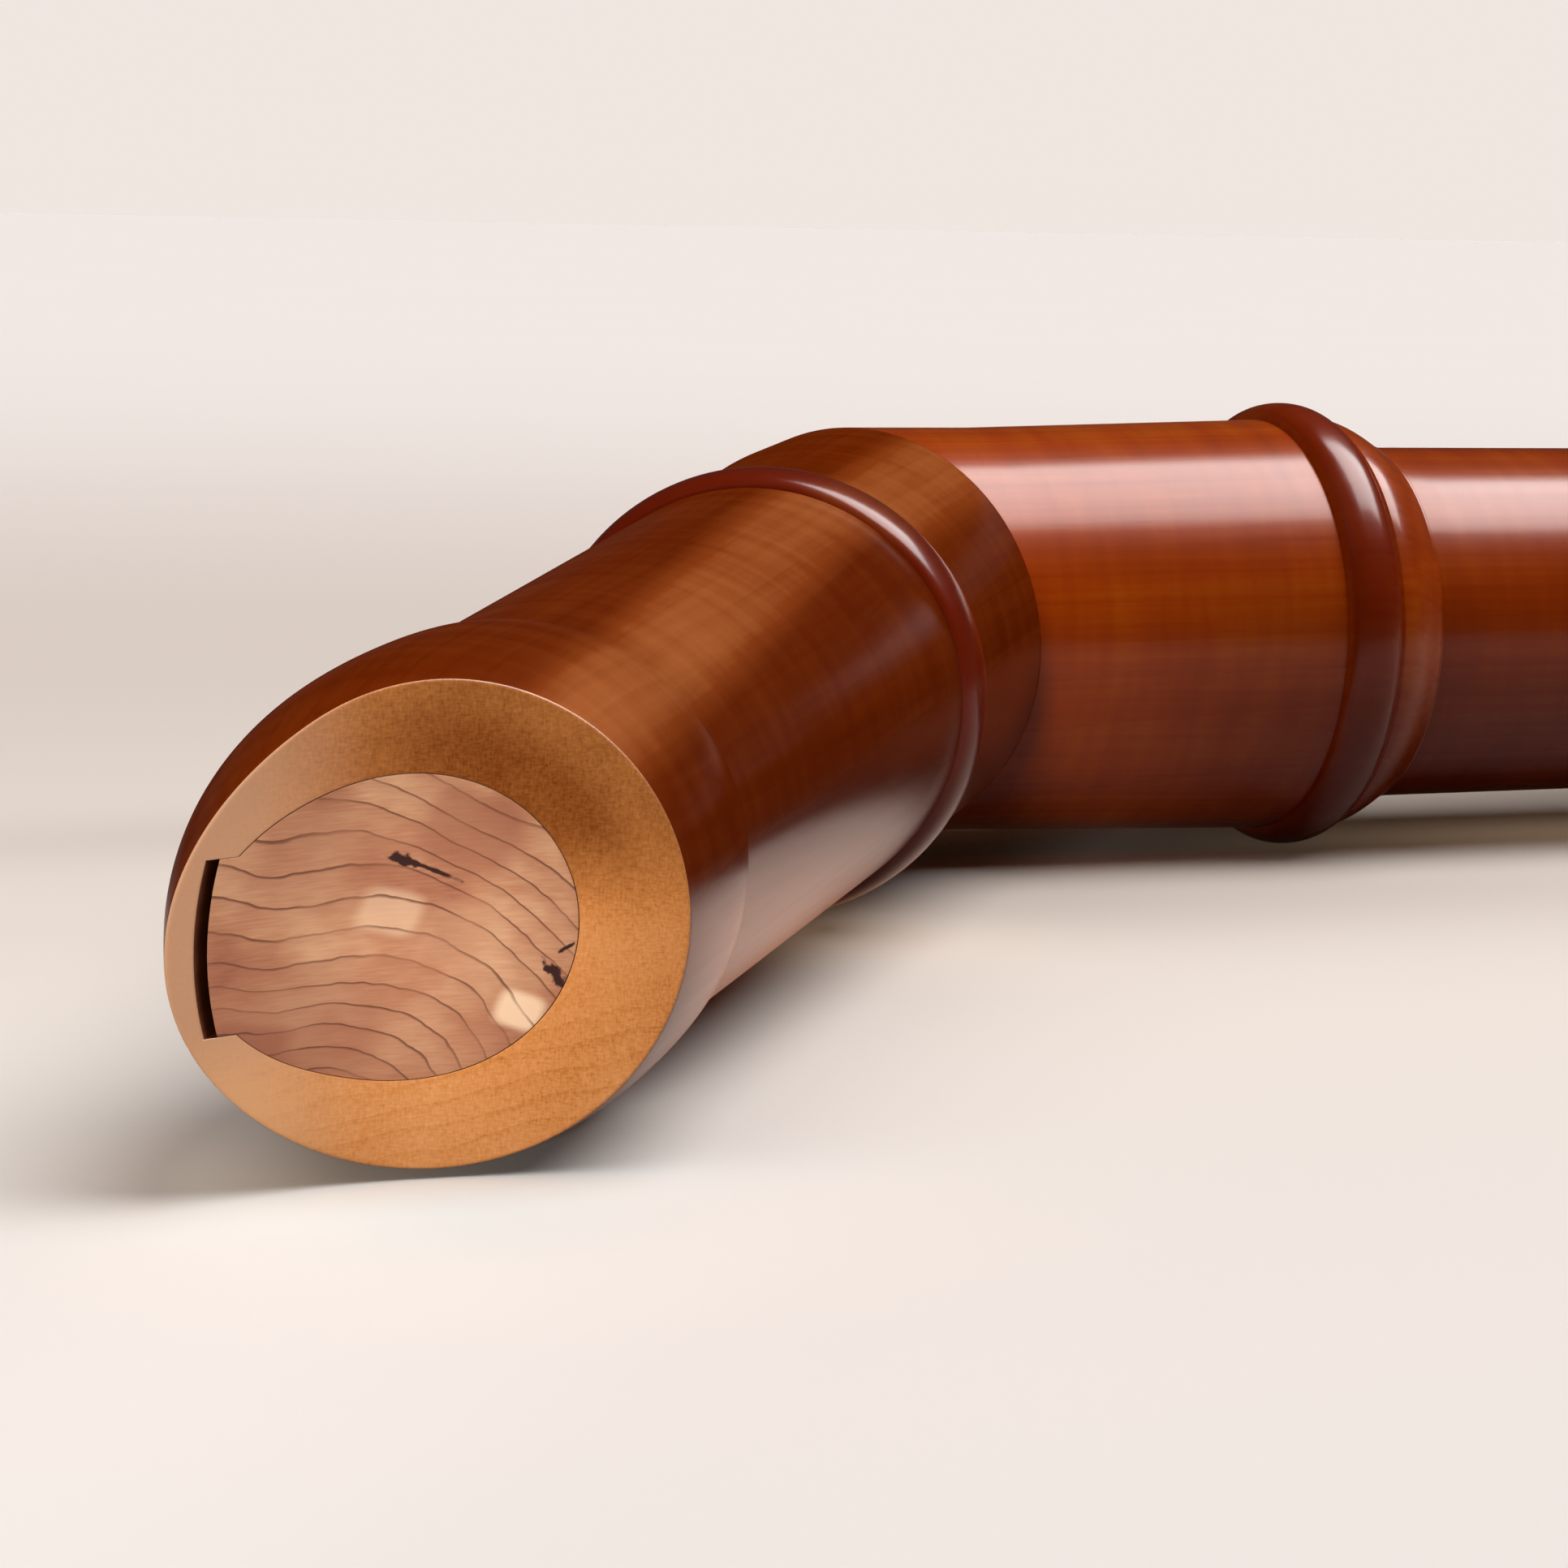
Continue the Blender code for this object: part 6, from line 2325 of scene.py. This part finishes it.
@dataclass(frozen=True)
class Studio:
    """Pale floor, soft light from above and the camera."""

    body: Matrix
    floor_colour: Colour = (0.93, 0.88, 0.865)
    floor_cloud: float = 0.985
    floor_roughness: float = 0.75
    floor_bounce: Colour = (0.14, 0.065, 0.035)
    # Painted shade: the floor is darker behind the instrument, and warmer near it where its shadows fall
    floor_shade: Colour = (0.729, 0.656, 0.614)
    shade_behind: Oval = ((-0.30, -0.50), (0.70, 0.75))
    shade_depth: float = 0.20
    shade_least: float = 0.02
    floor_warm_shade: Colour = (0.908, 0.838, 0.776)
    warm_shade_round: Oval = ((-0.28, 0.08), (0.45, 0.22))
    # Painted shadows: dark under the middle joint, softer in front of the knee, and a cooler darkening in
    # front of the beak that takes back the spot's light on the floor
    painted_floor_shadows: tuple[tuple[Colour, float, Oval], ...] = (
        ((0.105, 0.054, 0.025), 0.92, ((0.05, 0.122), (0.30, 0.026))),
        ((0.105, 0.054, 0.025), 0.27, ((-0.24, 0.040), (0.10, 0.040))),
        ((0.735, 0.790, 0.795), 1.00, ((-0.400, -0.117), (0.023, 0.018))),
    )
    # Painted fill light: the floor glows a little in three of its shadows, for the camera only
    painted_fill_light: Colour = (0.145, 0.101, 0.066)
    painted_fill_round: tuple[Oval, ...] = (
        ((-0.15, 0.079), (0.055, 0.016)),
        ((-0.415, -0.102), (0.018, 0.024)),
        ((-0.302, 0.012), (0.024, 0.026)),
    )
    # Painted reflection: a floor patch near the knee glows orange, seen in reflections only
    painted_reflection_glow: Colour = (0.42, 0.14, 0.05)
    painted_reflection_round: Oval = ((-0.315, -0.02), (0.07, 0.07))
    # Painted shade in reflections: far from the instrument the floor shows this dark colour to reflections
    # only
    floor_mirrored: Colour = (0.05, 0.045, 0.04)
    floor_near: Point = (0.25, 0.60)
    floor_half: float = 60.0
    floor_drop: float = 0.00005
    suns: tuple[tuple[float, Place], ...] = (
        (2.45, (0.40, -0.18, 0.90)),
        (0.80, (-0.55, -0.25, 0.80)),
    )
    sun_angle_deg: float = 50.0
    lamp_colour: Colour = (1.0, 0.985, 0.97)
    strip_radiance: float = 12.2
    strip_sizes: tuple[Point, ...] = ((1.3, 0.98), (1.3, 0.68), (1.3, 0.38))
    strip_at: Place = (0.90, 0.03, 1.20)
    strip_yaw_deg: float = 10.0
    spot_power: float = 12.5
    spot_cone_deg: float = 7.6
    spot_blend: float = 0.3
    spot_size: float = 0.03
    spot_at: Place = (-0.389, -0.612, 0.05)
    spot_aim: Place = (-0.1230, -0.1884, -0.0018)
    sky: Colour = (0.868, 0.795, 0.750)
    ambient_colour: Colour = (1.0, 0.60, 0.32)
    ambient: float = 0.055
    backdrop: tuple[float, float, float, float] = (0.00, 0.18, 0.14, 0.02)
    lens: float = 100.0084
    sensor: float = 36.0
    clip: Point = (0.01, 300.0)
    eye: Place = (-0.23412, -0.57261, 0.08366)
    yaw: float = 0.3727
    pitch: float = -0.1702
    roll: float = 0.0357

    @staticmethod
    def pool(recipe: Recipe, x: Tone, y: Tone, oval: Oval) -> Tone:
        """Mask that fades from 1 at an oval's middle.

        Args:
            recipe: Material it goes into.
            x: Place on the floor.
            y: Other place on the floor.
            oval: Middle and half widths.

        Returns:
            The mask.
        """
        middle, reach = oval
        spread = ((x - middle[0]) / reach[0]) ** 2.0 + ((y - middle[1]) / reach[1]) ** 2.0
        return recipe.math("EXPONENT", spread * -1.0)

    def build_floor(self) -> None:
        """Lay the floor, with painted shade behind, under and near the instrument, a painted fill light in
        its shadows, and painted glow and shade that only reflections show.
        """
        half, drop = self.floor_half, -self.floor_drop
        mesh = bpy.data.meshes.new("floor")
        corners = [(-half, -half, drop), (half, -half, drop), (half, half, drop), (-half, half, drop)]
        mesh.from_pydata(corners, [], [(0, 1, 2, 3)])
        floor = new_object("floor", mesh)
        recipe = Recipe("floor_paper")
        place = recipe.local(Matrix.Identity(4))
        x, y, _ = recipe.split(place)
        tint = tuple(self.floor_cloud * part for part in self.floor_colour)
        shown = recipe.mix(recipe.noise(place, (3.0, 3.0, 3.0)), self.floor_colour, tint)
        depth = recipe.math("MAXIMUM", y + self.shade_depth, self.shade_least)
        depth = recipe.math("LOGARITHM", depth, math.e)
        # Painted shade: warmer near the instrument and darker behind it
        shown = recipe.mix(self.pool(recipe, x, y, self.warm_shade_round), shown, self.floor_warm_shade)
        shown = recipe.mix(self.pool(recipe, x, depth, self.shade_behind), shown, self.floor_shade)
        # Painted shadows on the floor
        for colour, share, oval in self.painted_floor_shadows:
            shown = recipe.mix(self.pool(recipe, x, y, oval) * share, shown, colour)
        path = recipe.node("ShaderNodeLightPath").outputs
        glossy = Tone(recipe, path["Is Glossy Ray"])
        # Painted shade in reflections of the far floor
        far = recipe.limit((x ** 2.0 + y ** 2.0) ** 0.5, *self.floor_near)
        shown = recipe.mix(far * glossy, shown, self.floor_mirrored)
        colour = recipe.mix(path["Is Diffuse Ray"], shown, self.floor_bounce)
        # Painted fill light in the floor's shadows, seen by the camera only
        filled = sum(self.pool(recipe, x, y, oval) for oval in self.painted_fill_round)
        glow = recipe.mix(Tone(recipe, path["Is Camera Ray"]) * filled, (0.0, 0.0, 0.0), self.painted_fill_light)
        # Painted reflection: an orange glow that only reflections see
        glow = recipe.mix(glossy * self.pool(recipe, x, y, self.painted_reflection_round), glow, self.painted_reflection_glow)
        looks = {"Base_Color": colour, "Emission_Color": glow, "Emission_Strength": 1.0}
        wear(floor, recipe.finish(Roughness=self.floor_roughness, Specular_IOR_Level=0.0, **looks))
        floor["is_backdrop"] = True

    def hang(self, lamp: Light, at: Vector, aim: Vector) -> Object:
        """Hang a lamp where the camera does not see it.

        Args:
            lamp: The lamp.
            at: Where it hangs.
            aim: What it points at.

        Returns:
            Its object.
        """
        lamp.color = self.lamp_colour
        light = bpy.data.objects.new(lamp.name, lamp)
        light.location = at
        light.rotation_mode = "QUATERNION"
        light.rotation_quaternion = (at - aim).to_track_quat("Z", "Y")
        light.visible_camera = False
        bpy.context.scene.collection.objects.link(light)
        light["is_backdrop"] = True
        return light

    def build_light(self) -> None:
        """Hang a soft light overhead, the strip that the gloss shows and a spot on the beak."""
        for strength, source in self.suns:
            overhead = bpy.data.lights.new("overhead", "SUN")
            overhead.energy = strength
            overhead.angle = math.radians(self.sun_angle_deg)
            self.hang(overhead, Vector(source), Vector()).visible_glossy = False
        above = self.body @ Vector(self.strip_at)
        for size in self.strip_sizes:
            strip = bpy.data.lights.new("strip", "AREA")
            strip.shape = "RECTANGLE"
            strip.size, strip.size_y = size
            strip.energy = self.strip_radiance * math.pi * strip.size * strip.size_y
            light = self.hang(strip, above, above - Vector((0.0, 0.0, 1.0)))
            light.rotation_quaternion = Euler((0.0, 0.0, math.radians(self.strip_yaw_deg))).to_quaternion()
            light.visible_diffuse = False
        spot = bpy.data.lights.new("beak_spot", "SPOT")
        spot.energy = self.spot_power
        spot.spot_size = math.radians(self.spot_cone_deg)
        spot.spot_blend = self.spot_blend
        spot.shadow_soft_size = self.spot_size
        at, aim = self.body @ Vector(self.spot_at), self.body @ Vector(self.spot_aim)
        self.hang(spot, at, aim).visible_glossy = False

    def build_sky(self) -> None:
        """Paint the room: a pale backdrop low down and a dim ceiling, plain where it only lights."""
        world = bpy.data.worlds.new("studio")
        world.use_nodes = True
        graph = Graph(world.node_tree)
        path = graph.node("ShaderNodeLightPath").outputs
        towards = graph.node("ShaderNodeTexCoord").outputs["Generated"]
        sockets = dict(zip(("From Min", "From Max", "To Min", "To Max"), self.backdrop))
        sockets["Value"] = graph.node("ShaderNodeSeparateXYZ", None, {0: towards}).outputs["Z"]
        backdrop = graph.node("ShaderNodeMapRange", {"interpolation_type": "SMOOTHSTEP"}, sockets)
        mirrored = graph.math("MAXIMUM", path["Is Glossy Ray"], path["Is Transmission Ray"])
        sockets = {"Factor": mirrored, "A": self.ambient, "B": backdrop.outputs[0]}
        unlit = graph.node("ShaderNodeMix", None, sockets).outputs["Result"]
        sockets = {"Factor": path["Is Camera Ray"], "A": unlit, "B": 1.0}
        seen = graph.node("ShaderNodeMix", None, sockets).outputs["Result"]
        sockets = {0: path["Is Diffuse Ray"], 6: self.sky, 7: self.ambient_colour}
        colour = graph.node("ShaderNodeMix", {"data_type": "RGBA"}, sockets).outputs[2]
        sky = graph.node("ShaderNodeBackground", None, {"Color": colour, "Strength": seen})
        graph.node("ShaderNodeOutputWorld", None, {"Surface": sky.outputs[0]})
        bpy.context.scene.world = world

    def build_camera(self) -> None:
        """Put the camera where the photograph was taken from."""
        ahead = Vector((
            math.sin(self.yaw) * math.cos(self.pitch),
            math.cos(self.yaw) * math.cos(self.pitch),
            math.sin(self.pitch),
        ))
        level = Vector((math.cos(self.yaw), -math.sin(self.yaw), 0.0))
        above = level.cross(ahead)
        right = math.cos(self.roll) * level + math.sin(self.roll) * above
        up = -math.sin(self.roll) * level + math.cos(self.roll) * above
        place = Matrix((right, up, -ahead)).transposed().to_4x4()
        place.translation = Vector(self.eye)
        lens = bpy.data.cameras.new("camera")
        lens.lens = self.lens
        lens.sensor_width = self.sensor
        lens.clip_start, lens.clip_end = self.clip
        camera = bpy.data.objects.new("camera", lens)
        bpy.context.scene.collection.objects.link(camera)
        camera.matrix_world = self.body @ place
        bpy.context.scene.camera = camera

    def build(self) -> None:
        """Set up floor, light and camera."""
        self.build_floor()
        self.build_light()
        self.build_sky()
        self.build_camera()
        bpy.context.scene.view_settings.view_transform = "Standard"


def corners() -> dict[str, list[float]]:
    """Lowest and highest corner of what is shown."""
    low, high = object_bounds()
    return {"low": list(low), "high": list(high)}


def main() -> None:
    """Build every piece in order and set the studio up."""
    logging.basicConfig(level=logging.INFO, format="%(name)s: %(message)s")
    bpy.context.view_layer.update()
    layout = Layout()
    setting = Setting.from_joints(frame["joints"], layout)
    body, head = setting.body, setting.head
    upper_ring, lower_ring = layout.stained_rings
    neck_wood = ORANGE_PEAR.material("stained_pear_neck", head, (0.0, 0.0, 0.0), (0.034, 0.020))
    upper_wood = KNEE_PEAR.material(
        "stained_pear_upper_knee", head, (0.31, 0.02, 0.04), (-0.040, 0.031), [upper_ring]
    )
    lower_wood = PEAR.material(
        "stained_pear_lower_knee", body, (0.17, 0.05, 0.01), (-0.012, 0.052), [lower_ring]
    )
    middle_wood = DEEP_PEAR.material("stained_pear_middle", body, (0.53, 0.01, 0.07), (0.020, 0.060))
    foot_wood = DEEP_PEAR.material("stained_pear_foot", body, (0.05, 0.06, 0.03), (-0.030, -0.050))
    head_bore = BareBore().material("bore_wood_head", head)
    body_bore = BareBore().material("bore_wood_body", body)
    brass = BRASS.material("brass")
    steel = BLUED_STEEL.material("blued_steel")
    cut_wood = CutPear().material("cut_pear", head)
    head_joint = HeadJoint(layout, Beak(layout), setting, neck_wood, cut_wood, head_bore)
    head_joint.build()
    CedarBlock(head_joint, Cedar().material("block_cedar", head)).build()
    knee = Knee(layout, setting, upper_wood, lower_wood, head_bore, body_bore)
    knee.build_upper()
    knee.build_lower()
    plan = KeyPlan(layout)
    bone, cork = BONE.material("bone"), CORK.material("cork")
    middle = MiddleJoint(layout, plan, setting, middle_wood, body_bore, bone, cork)
    middle.build()
    middle.build_bush()
    middle.build_corks()
    FootJoint(layout, plan, setting, foot_wood, body_bore).build()
    repeat = SetOut()
    Keywork(plan, repeat, setting, brass, steel, LEATHER.material("pad_leather")).build()
    BackFittings(layout, repeat, setting, brass).build()
    Studio(body).build()


if __name__ == "__main__":
    main()
